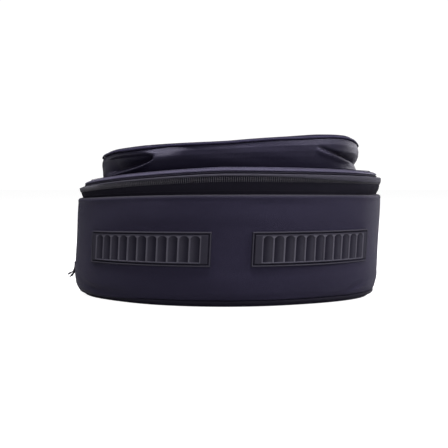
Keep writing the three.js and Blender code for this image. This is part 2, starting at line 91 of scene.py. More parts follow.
# Sections in millimetres: d inward from the outline, z above the floor or above the hem
GUSSET_OUTER = table(
    "d z",
    (9.0, 143.6), (6.0, 144.9), (3.0, 145.2), (0.7, 144.6), (-0.8, 143.2), (-1.3, 141.4),
    (-1.1, 139.8), (-0.9, 138.2), (-0.9, 135.0), (-1.0, 125.0), (-1.0, 100.0),
    (-1.0, 72.0), (-1.0, 44.0), (-0.6, 28.0), (0.3, 17.0), (1.6, 12.0), (3.6, 9.4),
    (6.5, 10.4),
)
GUSSET_INNER = table("d z", (12.5, 12.6), (12.0, 60.0), (12.0, 141.0))
BACK_EDGE = table(
    "d z",
    (13.0, 12.1), (9.2, 10.7), (7.6, 8.2), (7.4, 5.4), (8.2, 2.4), (10.2, 0.7),
    (13.5, 0.1), (21.0, 0.0),
)
BORDER_SECTION = table(
    "d z",
    (2.2, 23.6), (0.6, 23.2), (-0.5, 23.6), (-1.0, 24.7), (-0.7, 26.0), (0.3, 26.7),
    (2.2, 26.9), (4.4, 26.8), (4.4, 23.7),
)
LID_EDGE = table(
    "d z",
    (14.0, 24.0), (5.2, 23.8), (5.0, 26.8), (4.6, 29.0), (3.0, 29.6), (1.8, 29.9),
    (1.1, 30.6), (1.3, 31.5), (2.4, 32.4), (5.0, 33.3), (9.0, 34.0), (14.0, 34.5),
    (22.0, 34.9),
)

# First row of the lid's upper side
LID_TOP = 7

# How far the pocket's wall is tucked in at shares of its height, at its front and at both ends
POCKET_PROFILE = table(
    "up front left right",
    (0.0, 6.0, 1.5, 3.5),
    (0.2, 3.6, 1.0, 6.5),
    (0.4, 1.6, 0.6, 3.0),
    (0.6, 0.3, 0.2, 0.6),
    (0.8, 0.0, 0.0, 0.0),
    (1.0, 1.6, 1.6, 1.6),
)

# Height of the pocket's rim across the bag, and the edge of its face: inward from the pocket's
# outline and above the rim
POCKET_RIM = table(
    "x z",
    (-182, 192.0), (-172, 198.0), (-150, 202.5), (-112, 205.7), (-36, 208.6), (6, 210.2),
    (88, 217.0), (124, 220.5), (150, 222.0), (170, 221.5), (184, 218.5), (198, 210.0),
)
POCKET_PANEL_EDGE = table(
    "d lift",
    (9.0, 0.5), (4.8, 0.5), (3.6, 1.2), (3.4, 2.0), (4.0, 2.8), (5.6, 3.3), (9.0, 3.7),
)

# Hollows of the pocket wall, from a tip at x0 out to x1 in millimetres. The lips are shares of
# the wall's height: the lower one falls from the tip to low, the upper one rises to high
POCKET_HOLLOWS = table(
    "x0 x1 tip low bend high deep ridge fade groove",
    (-106, -186, 0.64, -0.02, 0.40, 1.25, 13.0, 3.0, 0.74, 0.0),
    (113, 190, 0.68, 0.14, 0.85, 0.56, 7.0, 2.2, 0.80, 3.8),
)

# Creases pressed into the foot of the side wall, in millimetres: place along it, height, length,
# slope, width and depth
FOOT_CREASES = table(
    "s z long slope wide deep",
    (-196, 17, 66, -0.06, 2.8, 2.0),
    (-236, 26, 30, -0.22, 3.2, 0.9),
    (-60, 12, 50, -0.03, 2.2, 0.7),
    (190, 20, 26, 0.30, 2.8, 1.1),
    (60, 13, 60, 0.03, 2.0, 0.8),
    (262, 30, 24, 0.45, 3.4, 1.2),
    (-300, 40, 30, 0.6, 4.0, 1.4),
    (420, 52, 34, 1.2, 5.0, 1.8),
    (-430, 60, 36, -1.1, 5.0, 1.8),
)

# Soft waves of the side wall: height, lengths along and up it in millimetres, and start
WALL_WAVES = table(
    "high long tall start",
    (0.55, 61, 47, 0.0),
    (0.45, 37, -31, 1.7),
    (0.35, 23, 19, 0.6),
)

# The foot of the wall, rolled in on the left and swollen on the right, in metres: where that comes
# and goes along the wall, the heights over which it fades, and how far it moves the wall
FOOT_ROLL = {"side": -1, "come": (0.090, 0.190), "go": (0.350, 0.470), "fade": (0.006, 0.024)}
FOOT_SWELL = {"side": 1, "come": (0.090, 0.200), "go": (0.215, 0.300), "fade": (0.008, 0.080)}
ROLL_IN, ROLL_HANG, SWELL_OUT = 0.0035, 0.0040, 0.0055

# Distances over which a form comes in or ends, out from the middle plane or from the tail
LID_DRAWN_OUT, LID_DRAWN_BACK = (0.150, 0.214), (0.260, 0.400)
NEAR_SIDES = (0.230, 0.330)
POCKET_NEAR = (0.200, 0.300)

# Middle places of the cords in their sections, in millimetres
BACK_CORD = {"d": 4.8, "z": 6.9}
LID_CORD = {"d": 1.9, "z": 28.2}
POCKET_CORD = {"d": 1.3, "z": 2.1}

# Webbing tab: how far each ply stands out from the widest place of the wall, and its height
TAB_OUTER = table("out z", (2.4, 45), (2.3, 39), (3.4, 33), (5.6, 29.2), (8.6, 27.0), (11.8, 25.6))
TAB_UNDER = table("out z", (1.6, 43), (1.5, 37), (2.4, 31), (4.8, 27.0), (7.2, 23.8), (9.2, 20.9))

# Blocks of the sliders, half width and heights, from a near to a far gap off the tape. Heights on
# the pocket's wall are hundredths of its own height
MAIN_SLIDER = table(
    "half low high near far",
    (4.6, 12.4, 23.4, 2.35, 3.9),
    (3.4, 13.4, 22.4, 3.9, 4.6),
    (1.3, 15.0, 21.0, 4.6, 5.4),
)
MAIN_PULL = table(
    "d z half",
    (-3.4, 17.5, 1.4), (-4.3, 14, 2.0), (-4.4, 4, 2.6),
    (-4.4, -8, 3.0), (-4.4, -14, 3.2), (-4.4, -16, 2.0),
)
POCKET_SLIDER = table(
    "half low high near far",
    (3.9, 37.0, 67.0, 2.85, 3.7),
    (2.8, 41.0, 63.0, 3.7, 4.1),
    (1.6, 8.0, 52.0, 4.1, 4.6),
)

# Studio lights, and the camera: its place, and in pixels of its square frame the focal length and
# how far down it looks
LIGHTS = table(
    "name place aim size power",
    ("top", (0.15, -0.85, 2.2), (-0.05, -0.45, 0.18), 0.7, 85),
    ("left", (-1.3, -0.2, 2.0), (-0.1, -0.48, 0.2), 0.6, 55),
    ("front", (0.35, -2.6, 1.0), (0.0, -0.5, 0.12), 1.0, 40),
    ("right", (1.9, -0.7, 1.5), (0.15, -0.4, 0.1), 1.1, 78),
    ("rim", (1.7, 1.4, 0.5), (0.2, -0.4, 0.1), 1.0, 10),
)
CAMERA = {"place": (-0.0007, -1.685, 0.170), "frame": 448.0, "focal": 900.0, "down": 49.0}


def measure(name, value, description):
    """A length that a user of the bag may change."""
    return FloatProperty(name=name, description=description, default=value, unit="LENGTH")


def colour(name, value, description):
    """A colour that a user of the bag may change."""
    return FloatVectorProperty(
        name=name, description=description, default=value, subtype="COLOR", size=3, min=0, max=1
    )


class BagShape(PropertyGroup):
    """Sizes of the whole bag and of the way it has settled."""

    length: measure("Length", 1.090, "From tail to head")
    half_width: measure("Half width", 0.218, "Half of the lower bout's width")
    neck_half: measure("Neck half width", 0.073, "Half of the neck's width")
    foot: measure("Foot", 0.028, "Height below which the wall keeps its place")
    hem: measure("Hem", 0.145, "Height of the side wall's hem")
    band: measure("Band", 0.028, "Height of the zip band")
    lean_wall: measure("Lean", 0.0072, "Sideways lean of the wall at the hem")
    lean_band: measure("Band lean", 0.0015, "Further lean of the zip band")
    sag_left: measure("Left sag", 0.010, "Sag of the left wall")
    sag_right: measure("Right sag", 0.0035, "Sag of the right wall")
    dip_left: measure("Left dip", 0.0105, "Dip of the band on the left")
    dip_right: measure("Right dip", 0.0015, "Dip of the band on the right")
    fall_left: measure("Left fall", 0.005, "Further dip at the band's left end")
    fall_right: measure("Right fall", 0.003, "Further dip at the band's right end")
    taper: measure("Taper", 0.050, "How much thinner the neck is")
    taper_from: measure("Taper from", 0.380, "Where the bag begins to thin")
    taper_to: measure("Taper to", 1.000, "Where the thinning ends")
    station: measure("Station", 0.004, "Step along the outline")
    lid_crown: measure("Lid crown", 0.0018, "Rise of the lid's middle")
    lid_draw: measure("Lid draw", 0.0055, "How far the lid is drawn in at its sides")
    back_cord: measure("Back cord", 0.0024, "Radius of the back seam's cord")
    lid_cord: measure("Lid cord", 0.0012, "Radius of the lid's cord")


class BagZip(PropertyGroup):
    """Sizes of the main zip."""

    tape_in: measure(
        "Tape set-back", 0.0056, "How far the tape stands behind the outline at the hem"
    )
    tape_slope: FloatProperty(
        name="Tape slope",
        description="How far the tape comes out for each unit it rises",
        default=0.1954,
    )
    tape_thick: measure("Tape thickness", 0.0012, "Thickness of the woven tape")
    seam: measure("Closing line", 0.0196, "Height of the closing line above the hem")
    pitch: measure("Tooth pitch", 0.0028, "Distance between teeth of one row")
    tooth: measure("Tooth width", 0.00100, "Width of a tooth")
    reach: measure("Tooth height", 0.0040, "Height of a tooth")


class BagPocket(PropertyGroup):
    """Sizes of the front pocket."""

    start: measure("Start", 0.036, "Distance of its near edge from the tail")
    cloth: measure("Cloth", 0.002, "Thickness of the pocket's wall")
    crown: measure("Crown", 0.0025, "Rise of the pocket's face")
    reach: measure("Crown reach", 0.110, "Distance over which the face rises")
    cord: measure("Cord", 0.0016, "Radius of the pocket's cord")
    zip_half: measure("Zip half length", 0.080, "Half of the pocket zip's length")


class BagPlates(PropertyGroup):
    """Sizes of the rubber scuff plates."""

    start: measure("Start", 0.0258, "Distance from the middle between the plates")
    shift: measure("Shift", 0.005, "How far the pair sits to the right of the middle")
    long: measure("Length", 0.184, "Length along the wall")
    low: measure("Low edge", 0.053, "Height of the lower edge")
    high: measure("Width", 0.045, "Height of the plate")
    thick: measure("Thickness", 0.0030, "Height of frame and ribs above the wall")
    cells: IntProperty(name="Cells", description="Number of cells between ribs", default=11)
    pitch: measure("Pitch", 0.0145, "Distance between ribs")
    rib: measure("Rib", 0.0021, "Width of a rib")
    grain: measure("Detail", 0.0006, "Step of the moulded surface")


class BagColours(PropertyGroup):
    """Colours of the cloths, rubber and metal."""

    nylon: colour("Nylon", (0.0130, 0.0116, 0.0215), "Cloth of the walls and the back")
    # Lighter than the walls' nylon: painted light on the top of the bag
    lid: colour("Lid", (0.0210, 0.0190, 0.0312), "Cloth of the lid")
    pocket: colour("Pocket", (0.0085, 0.0075, 0.0148), "Cloth of the pocket")
    piping: colour("Piping", (0.0070, 0.0063, 0.0110), "Cloth over the cords")
    border: colour("Border", (0.0250, 0.0238, 0.0320), "Binding above the zip")
    tape: colour("Tape", (0.0075, 0.0069, 0.0108), "Woven tape of the zips")
    teeth: colour("Teeth", (0.0480, 0.0468, 0.0520), "Teeth of the zips")
    # The dark rubber also serves as painted shade in the cells and the groove; the lighter colour
    # is for scuffed ribs
    rubber: colour("Rubber", (0.0066, 0.0060, 0.0104), "Scuff plates")
    scuffed_unshaded: colour("Rubbed", (0.0670, 0.0650, 0.0775), "Scuff plates where they are rubbed")
    webbing: colour("Webbing", (0.0060, 0.0057, 0.0075), "Tab at the foot")
    thread: colour("Thread", (0.0160, 0.0152, 0.0200), "Sewing thread")
    enamel: colour("Enamel", (0.0100, 0.0100, 0.0115), "Sliders and pulls")


class BagSettings(PropertyGroup):
    """Everything a user of the bag may change."""

    shape: PointerProperty(type=BagShape)
    zip: PointerProperty(type=BagZip)
    pocket: PointerProperty(type=BagPocket)
    plates: PointerProperty(type=BagPlates)
    colours: PointerProperty(type=BagColours)


def smooth(t, low, high):
    """Eases from 0 to 1 between two values."""
    t = np.clip((np.asarray(t, float) - low) / (high - low), 0.0, 1.0)
    return t * t * (3.0 - 2.0 * t)


def spline(rows, keys, step):
    """A smooth open curve through the rows of a table, sampled about every step."""
    p = np.array([[row[k] for k in keys] for row in rows], float)
    ends = np.vstack([2 * p[0] - p[1], p, 2 * p[-1] - p[-2]])
    out = []
    for i in range(len(p) - 1):
        a, b, c, d = ends[i : i + 4]
        count = max(1, math.ceil(np.linalg.norm(c - b) / step))
        t = (np.arange(count) / count)[:, None]
        tangent_b, tangent_c = (c - a) / 2, (d - b) / 2
        limit = 1.2 * np.linalg.norm(c - b)
        for tangent in (tangent_b, tangent_c):
            size = np.linalg.norm(tangent)
            if size > limit:
                tangent *= limit / size
        out.append(
            (2 * t**3 - 3 * t**2 + 1) * b
            + (t**3 - 2 * t**2 + t) * tangent_b
            + (-2 * t**3 + 3 * t**2) * c
            + (t**3 - t**2) * tangent_c
        )
    out.append(p[-1:])
    return np.vstack(out)


def circle(radius, d, z):
    """The round section of a cord about a middle place."""
    angle = np.arange(CORD_SIDES) / CORD_SIDES * 2 * math.pi
    return np.stack([d + radius * np.cos(angle), z + radius * np.sin(angle)], -1)


class Walk:
    """A closed outline, walked from the middle of its near end along the right side first."""

    def __init__(self, rows, start):
        heading, steps, angles, reach = 0.0, [], [], 0.0
        for row in rows:
            turn = math.radians(row.get("turn", 0.0))
            length = row.get("length", row.get("radius", 0.0) * abs(turn))
            count = max(8, round(length / WALK_STEP))
            angle = heading + turn * (np.arange(count) + 0.5) / count
            steps.append(np.full(count, length / count))
            angles.append(angle)
            heading += turn
            reach += float(np.sum(np.cos(angle)) * length / count)
        steps.append(np.full(CLOSING_STEPS, reach / CLOSING_STEPS))
        angles.append(np.full(CLOSING_STEPS, heading))
        step, angle = np.concatenate(steps), np.concatenate(angles)
        step = np.concatenate([step, step[::-1]])
        angle = np.concatenate([angle, 2 * math.pi - angle[::-1]])
        self.s = np.concatenate([[0.0], np.cumsum(step)])
        self.x = np.concatenate([[0.0], np.cumsum(step * np.cos(angle))])
        self.v = start + np.concatenate([[0.0], np.cumsum(step * np.sin(angle))])
        self.turned = np.interp(self.s, self.s[1:] - step / 2, angle)
        self.turned[0], self.turned[-1] = 0.0, 2 * math.pi
        self.total = self.s[-1]

    def at(self, s, d=0.0):
        """Place on the outline moved inward by d, and the heading there."""
        s = np.mod(s, self.total)
        h = np.interp(s, self.s, self.turned)
        x = np.interp(s, self.s, self.x) - d * np.sin(h)
        v = np.interp(s, self.s, self.v) + d * np.cos(h)
        return x, v, h

    def stations(self, step):
        """An even number of places, mirrored about the middle plane."""
        half = round(self.total / 2 / step)
        return np.arange(2 * half) * (self.total / (2 * half))

    def depth(self, x, v):
        """Distance of places inside the outline from its edge."""
        every, batch = 6, 2000
        edge = np.stack([self.x[::every], self.v[::every]], -1)
        place = np.stack([np.ravel(x), np.ravel(v)], -1)
        out = np.empty(len(place))
        for i in range(0, len(place), batch):
            gap = place[i : i + batch, None, :] - edge[None]
            out[i : i + batch] = np.sqrt((gap**2).sum(-1).min(1))
        return out.reshape(np.shape(x))


class Form:
    """The bag's outlines and settled shape, worked out from the sizes in the panel."""

    def __init__(self, settings):
        self.shape, self.zip = settings.shape, settings.zip
        self.pocket, self.plates = settings.pocket, settings.plates
        turn = math.radians(-NECK_ROOT["turn"])
        x, v = self.half_end(BODY_BENDS)
        root_in = NECK_ROOT["radius"] * (1 - math.cos(turn))
        shoulder = (x - self.shape.neck_half - root_in) / math.sin(turn)
        neck = v + shoulder * math.cos(turn) + NECK_ROOT["radius"] * math.sin(turn)
        rows = [
            *BODY_BENDS,
            {"bend": "shoulder", "length": shoulder},
            NECK_ROOT,
            {"bend": "neck", "length": self.shape.length - HEAD_CORNER["radius"] - neck},
            HEAD_CORNER,
        ]
        self.outline = Walk(rows, 0.0)
        self.pocket_line = Walk(POCKET_BENDS, self.pocket.start)
        self.stations = self.outline.stations(self.shape.station)

    @staticmethod
    def half_end(rows):
        """Where a walk along these rows ends."""
        x = v = heading = 0.0
        for row in rows:
            turn = math.radians(row["turn"])
            sign = math.copysign(1.0, turn)
            x += sign * row["radius"] * (math.sin(heading + turn) - math.sin(heading))
            v += sign * row["radius"] * (math.cos(heading) - math.cos(heading + turn))
            heading += turn
        return x, v

    def settle(self, x, v, z):
        """Moves places of the plump shape to where the filled cloth has settled."""
        p = self.shape
        x, v, z = np.broadcast_arrays(x, v, z)
        soft = 0.020
        u = (np.sqrt(x * x + soft * soft) - soft) / p.half_width
        left = smooth(-x, -soft, soft)
        sag = left * p.sag_left + (1 - left) * p.sag_right
        dip = left * p.dip_left + (1 - left) * p.dip_right
        fall = left * p.fall_left + (1 - left) * p.fall_right
        wall = np.clip((z - p.foot) / (p.hem - p.foot), 0, 1)
        band = np.clip((z - p.hem) / p.band, 0, 1)
        body = 1 - smooth(v, p.taper_from, p.taper_to)
        settled = wall * sag * u * u + band * (dip * u + fall * u**6)
        drop = settled * body + wall * p.taper * (1 - body)
        lean = p.lean_wall * np.clip(z / p.hem, 0, 1) + p.lean_band * band
        return np.stack([x + lean * body, v - p.length / 2, z - drop], -1)

    def signed(self, s):
        """Distance along the outline from the middle of the tail, negative on the left."""
        return np.where(s > self.outline.total / 2, s - self.outline.total, s)

    def footing(self, s, z):
        """How far the foot is rolled in on the left, and how far it swells on the right."""
        at, found = self.signed(s), []
        for row in (FOOT_ROLL, FOOT_SWELL):
            here = row["side"] * at
            along = smooth(here, *row["come"]) * (1 - smooth(here, *row["go"]))
            found.append(along * (1 - smooth(z, *row["fade"])))
        return found

    def drawn(self, s):
        """How far the lid's edge is drawn in at both sides of the lower bout."""
        x, v, _ = self.outline.at(s)
        return smooth(np.abs(x), *LID_DRAWN_OUT) * (1 - smooth(v, *LID_DRAWN_BACK))

    def rails(self, section, s, push=None, hang=0.0, draw=0.0):
        """Rails round the outline, one for each place of a section in metres."""
        rows = []
        for k, (d, z) in enumerate(section):
            extra = 0.0 if push is None else push[k]
            rolled, swollen = self.footing(s, z)
            inward = ROLL_IN * rolled - SWELL_OUT * swollen + draw * self.drawn(s)
            x, v, _ = self.outline.at(s, d - extra + inward)
            rows.append(self.settle(x, v, z - hang * rolled))
        return np.array(rows)

    def lid_height(self, x, v):
        """Height of the plump lid above the floor."""
        over = 90
        depth = self.outline.depth(x, v) / MM
        d, z = column(LID_EDGE[LID_TOP:], "d"), column(LID_EDGE[LID_TOP:], "z")
        rise = 1 - (1 - np.clip((depth - d[-1]) / over, 0, 1)) ** 2
        return self.shape.hem + np.interp(depth, d, z) * MM + self.shape.lid_crown * rise

    def lid_place(self, x, v):
        """Settled place of the lid's top above a place of the plump outline."""
        return self.settle(x, v, self.lid_height(x, v))

    def tape_in(self, z):
        """How far the zip tape stands inside the outline at a height above the hem."""
        foot = 0.4 * MM
        return self.zip.tape_in - (z - foot) * self.zip.tape_slope

    def pocket_lean(self):
        """How far the whole pocket leans to the right."""
        return self.shape.lean_wall + self.shape.lean_band

    def rim(self, x):
        """Height of the pocket's rim across the bag, eased between the rows of its table."""
        end, reach, spread = 230, 12, 5.0
        fine = np.arange(-end, end + 1, 1.0)
        z = np.interp(fine, column(POCKET_RIM, "x"), column(POCKET_RIM, "z"))
        kernel = np.exp(-((np.arange(-reach, reach + 1) / spread) ** 2))
        eased = np.convolve(np.pad(z, reach, mode="edge"), kernel / kernel.sum(), "valid")
        return np.interp(np.asarray(x) / MM, fine, eased) * MM


def build(name, points, quads, uv=None, tris=()):
    """A mesh object from places, four-sided and three-sided faces and their flat places."""
    quads = np.asarray(quads, np.int32).reshape(-1, 4)
    tris = np.asarray(tris, np.int32).reshape(-1, 3)
    corners = np.concatenate([quads.ravel(), tris.ravel()])
    counts = np.concatenate([np.full(len(quads), 4), np.full(len(tris), 3)])
    starts = np.concatenate([[0], np.cumsum(counts)[:-1]]).astype(np.int32)
    mesh = bpy.data.meshes.new(name)
    mesh.vertices.add(len(points))
    mesh.vertices.foreach_set("co", np.asarray(points, np.float32).ravel())
    mesh.loops.add(len(corners))
    mesh.loops.foreach_set("vertex_index", corners)
    mesh.polygons.add(len(counts))
    mesh.polygons.foreach_set("loop_start", starts)
    mesh.polygons.foreach_set("use_smooth", np.ones(len(counts), bool))
    if uv is not None:
        layer = mesh.uv_layers.new(name="cloth")
        layer.uv.foreach_set("vector", np.asarray(uv, np.float32).ravel())
    mesh.update(calc_edges=True)
    mesh.validate()
    obj = bpy.data.objects.new(name, mesh)
    bpy.context.scene.collection.objects.link(obj)
    return obj


def volume_sign(points, quads):
    """Positive where the faces are turned outward."""
    a, b, c, d = (points[quads[:, i]] for i in range(4))
    total = np.einsum("ij,ij->i", a, np.cross(b, c)) + np.einsum("ij,ij->i", a, np.cross(c, d))
    return total.sum()


def mark(obj, name, values):
    """Keeps a number at each place of a piece, for its material to read."""
    layer = obj.data.attributes.new(name, "FLOAT", "POINT")
    layer.data.foreach_set("value", np.asarray(values, np.float32).ravel())


def lengths(grid, axis, wrap):
    """Running length of a grid along one axis, averaged over the other."""
    moved = np.moveaxis(grid, axis, 0)
    if wrap:
        moved = np.concatenate([moved, moved[:1]])
    step = np.linalg.norm(np.diff(moved, axis=0), axis=-1).mean(1)
    return np.concatenate([[0.0], np.cumsum(step)])


def grid_faces(rows, cols, wrap_rows, wrap_cols, u, v):
    """Faces of a grid and their flat places, u along the columns and v along the rows."""
    index = np.arange(rows * cols).reshape(rows, cols)
    j, i = np.meshgrid(
        np.arange(rows if wrap_rows else rows - 1),
        np.arange(cols if wrap_cols else cols - 1),
        indexing="ij",
    )
    j1, i1 = (j + 1) % rows, (i + 1) % cols
    quads = np.stack([index[j, i], index[j, i1], index[j1, i1], index[j1, i]], -1)
    flat = np.stack(
        [
            np.stack([u[i], v[j]], -1),
            np.stack([u[i + 1], v[j]], -1),
            np.stack([u[i + 1], v[j + 1]], -1),
            np.stack([u[i], v[j + 1]], -1),
        ],
        -2,
    )
    return quads.reshape(-1, 4), flat.reshape(-1, 4, 2)


def ring_object(name, grid):
    """A closed ring from rails that run round an outline."""
    rows, cols, _ = grid.shape
    u, v = lengths(grid, 1, True), lengths(grid, 0, True)
    quads, flat = grid_faces(rows, cols, True, True, u, v)
    return outward_object(name, grid.reshape(-1, 3), quads, flat)


def strip_object(name, grid):
    """A flat strip from rows that run over its face and back behind it, closed at both ends."""
    rows, cols, _ = grid.shape
    u, v = lengths(grid, 1, False), lengths(grid, 0, True)
    quads, flat = grid_faces(rows, cols, True, False, u, v)
    index, half = np.arange(rows * cols).reshape(rows, cols), rows // 2
    for rim, order in ((index[:, 0], 1), (index[:, -1], -1)):
        back = rim[::-1]
        cap = np.stack([rim[: half - 1], rim[1:half], back[1:half], back[: half - 1]], -1)
        quads = np.concatenate([quads, cap[:, ::order]])
    flat = np.concatenate([flat, np.zeros((len(quads) - len(flat), 4, 2))])
    return outward_object(name, grid.reshape(-1, 3), quads, flat)


def outward_object(name, points, quads, flat):
    """A mesh object of four-sided faces, all turned outward."""
    if volume_sign(points, quads) < 0:
        quads, flat = quads[:, ::-1], flat[:, ::-1]
    return build(name, points, quads, flat)


def panel_object(name, edge, across, under, over):
    """A panel from its edge rails, with both faces filled across from right to left.

    under and over give the places of a face from the numbers of edge places on the right and on the
    left, and the shares of the way between them.
    """
    rows, cols, _ = edge.shape
    points = [edge.reshape(-1, 3)]
    quads, _ = grid_faces(rows, cols, False, True, np.zeros(cols + 1), np.zeros(rows))
    faces, tris, start = [quads], [], rows * cols
    for rail, place in ((0, under), (rows - 1, over)):
        half = cols // 2
        k = np.arange(1, half)
        share = (np.arange(1, across) / across)[None, :]
        inside = place(k, cols - k, share)
        points.append(inside.reshape(-1, 3))
        net = np.empty((half - 1, across + 1), int)
        net[:, 0] = rail * cols + k
        net[:, -1] = rail * cols + cols - k
        count = len(k) * (across - 1)
        net[:, 1:-1] = start + np.arange(count).reshape(inside.shape[:2])
        start += count
        a, b = net[:-1, :-1], net[:-1, 1:]
        c, d = net[1:, 1:], net[1:, :-1]
        quad = np.stack([a, b, c, d], -1).reshape(-1, 4)
        tri = [[rail * cols, net[0, m], net[0, m + 1]] for m in range(across)]
        tri += [[rail * cols + half, net[-1, m + 1], net[-1, m]] for m in range(across)]
        if rail == 0:
            quad, tri = quad[:, ::-1], [t[::-1] for t in tri]
        faces.append(quad[:, ::-1])
        tris += tri
    points, faces = np.concatenate(points), np.concatenate(faces)
    tris = np.array(tris)
    if volume_sign(points, faces) < 0:
        faces, tris = faces[:, ::-1], tris[:, ::-1]
    order = np.concatenate([faces.ravel(), tris.ravel()])
    return build(name, points, faces, points[order][:, :2], tris)


def bowed(x, v, share, reach=0.12):
    """Flat places between two edge places, in rows that bow apart towards a straight far end."""
    depth = 0.35
    bow = depth * np.abs(x) * smooth(v, v.max() - reach, v.max())
    return x[:, None] * (1 - 2 * share), v[:, None] - bow[:, None] * 4 * share * (1 - share)


def plump(obj, free, pressure, cap, frames=14):
    """Fills a padded piece while the rest of it is held, and keeps the swollen shape.

    free is one where a place may move and cap is how far it may go.
    """
    scene, count = bpy.context.scene, len(obj.data.vertices)
    rest = np.empty(3 * count, np.float32)
    obj.data.vertices.foreach_get("co", rest)
    group = obj.vertex_groups.new(name="held")
    least = 0.02
    group.add(np.flatnonzero(free < least).tolist(), 1.0, "REPLACE")
    fill = obj.modifiers.new("fill", "CLOTH")
    cloth = fill.settings
    cloth.quality = 4
    cloth.mass = 0.05
    cloth.vertex_group_mass = group.name
    cloth.use_pressure = True
    cloth.uniform_pressure_force = pressure
    cloth.effector_weights.gravity = 0.0
    fill.collision_settings.use_collision = False
    fill.point_cache.frame_start = 1
    fill.point_cache.frame_end = frames
    for number in range(1, frames + 1):
        scene.frame_set(number)
    swollen = np.empty(3 * count, np.float32)
    graph = bpy.context.evaluated_depsgraph_get()
    obj.evaluated_get(graph).data.vertices.foreach_get("co", swollen)
    obj.modifiers.remove(fill)
    obj.vertex_groups.remove(group)
    scene.frame_set(1)
    move = (swollen - rest).reshape(-1, 3)
    if not np.isfinite(move).all():
        raise RuntimeError(f"{obj.name} didn't settle")
    far = np.maximum(np.linalg.norm(move, axis=1), 1e-9)
    move *= (cap * np.tanh(far / cap) / far * free)[:, None]
    obj.data.vertices.foreach_set("co", rest + move.astype(np.float32).ravel())
    obj.data.update()


def scatter(name, template, quads, places, frames):
    """Many copies of a small shape, each set at a place in its own frame."""
    count, size = len(places), len(template)
    points = places[:, None, :] + np.einsum("pk,mkc->mpc", template, frames)
    faces = quads[None] + (np.arange(count) * size)[:, None, None]
    flat = np.tile(template[quads.ravel()][:, :2], (count, 1))
    return build(name, points.reshape(-1, 3), faces.reshape(-1, 4), flat)


def bead(radius, half):
    """A short thread lying along its first axis, pulled down into the cloth at both ends."""
    sides, along = 6, np.array([-1.0, -0.82, -0.3, 0.3, 0.82, 1.0])
    size = np.array([0.45, 0.85, 1.0, 1.0, 0.85, 0.45])
    rise = np.array([-0.9, -0.25, 0.25, 0.25, -0.25, -0.9])
    angle = np.arange(sides) / sides * 2 * math.pi
    rows = []
    for a, r, h in zip(along, size, rise):
        ring = np.stack(
            [
                np.full(sides, a * half),
                radius * r * np.cos(angle),
                radius * (r * np.sin(angle) + h),
            ],
            -1,
        )
        rows.append(ring)
    quads, _ = grid_faces(len(rows), sides, False, True, np.zeros(sides + 1), np.zeros(len(rows)))
    end = np.array([[0, 1, 2, 3], [0, 3, 4, 5]])
    caps = [end[:, ::-1], end + (len(rows) - 1) * sides]
    return np.concatenate(rows), np.concatenate([quads, *caps])


def along_line(at, s, line):
    """Places of a line at distances along it."""
    return np.stack([np.interp(at, s, line[:, c]) for c in range(3)], -1)


def stitch_object(name, line, up, pitch, radius, share=0.72):
    """A row of stitches along a closed or open line, standing on the cloth below it."""
    step = np.linalg.norm(np.diff(line, axis=0), axis=1)
    s = np.concatenate([[0.0], np.cumsum(step)])
    at, near = np.arange(pitch / 2, s[-1], pitch), 0.3 * MM
    place = along_line(at, s, line)
    along = along_line(at + near, s, line) - along_line(at - near, s, line)
    along /= np.linalg.norm(along, axis=1)[:, None]
    side = np.cross(along_line(at, s, up), along)
    side /= np.linalg.norm(side, axis=1)[:, None]
    top = np.cross(along, side)
    template, quads = bead(radius, pitch * share / 2)
    return scatter(name, template, quads, place, np.stack([along, side, top], 1))


def square_frames(along, up):
    """Frames at right angles from directions along and up: along, up and outward."""
    along = along / np.linalg.norm(along, axis=1)[:, None]
    out = np.cross(along, up)
    out /= np.linalg.norm(out, axis=1)[:, None]
    return np.stack([along, np.cross(out, along), out], 1)


def tooth(p, side):
    """A zip tooth: a slanting bar with a rounded head that reaches past the closing line."""
    right = [(0.8, 0.0), (0.8, 0.62), (1.15, 0.8), (0.8, 1.0)]
    left = [(-0.8, 1.0), (-1.15, 0.8), (-0.8, 0.62)]
    shape = np.array([(-0.8, 0.0), *right, *left])
    past, lean = 0.7 * MM, 0.12
    shoulder, crown, narrow = 0.9 * MM, 1.35 * MM, np.array([0.72, 0.9])
    w, rise = p.tooth / 2, p.reach * (1 - shape[:, 1]) - past
    slant = side * lean * p.pitch * (rise / p.reach - 0.5)
    flat = np.stack([shape[:, 0] * w + slant, side * rise], -1)
    middle = flat.mean(0)
    head = middle + (flat - middle) * narrow
    rings = [(flat, 0.0), (flat, shoulder), (head, crown)]
    points = np.concatenate([np.column_stack([f, np.full(len(f), h)]) for f, h in rings])
    n = len(shape)
    quads, _ = grid_faces(3, n, False, True, np.zeros(n + 1), np.zeros(3))
    top = 2 * n + np.arange(n)
    cap = np.array([top[[0, 1, 2, 7]], top[[7, 2, 3, 6]], top[[6, 3, 4, 5]]])
    quads = np.concatenate([quads, cap, cap[:, ::-1] - 2 * n])
    return points, quads[:, ::-1] if side > 0 else quads


def blocks(rows, place):
    """Small boxes that narrow towards their outer face, each corner set by place."""
    draft, points, quads = 0.5, [], []
    sides = ((0, 1, 5, 4), (1, 2, 6, 5), (2, 3, 7, 6), (3, 0, 4, 7), (4, 5, 6, 7), (3, 2, 1, 0))
    for row in rows:
        start = len(points)
        for gap, shrink in ((row["near"], 0.0), (row["far"], draft)):
            for x, z in ((-1, "low"), (1, "low"), (1, "high"), (-1, "high")):
                height = row[z] + (shrink if z == "low" else -shrink)
                points.append(place(x * (row["half"] - shrink) * MM, height * MM, gap * MM))
        quads += [[start + i for i in side] for side in sides]
    return points, quads


def slider_object(name, points, quads, edge):
    """A slider with its pull from places and faces, its edges rounded."""
    obj = build(name, points, quads, points[np.array(quads).ravel()][:, :2])
    bevel(obj, edge)
    return obj


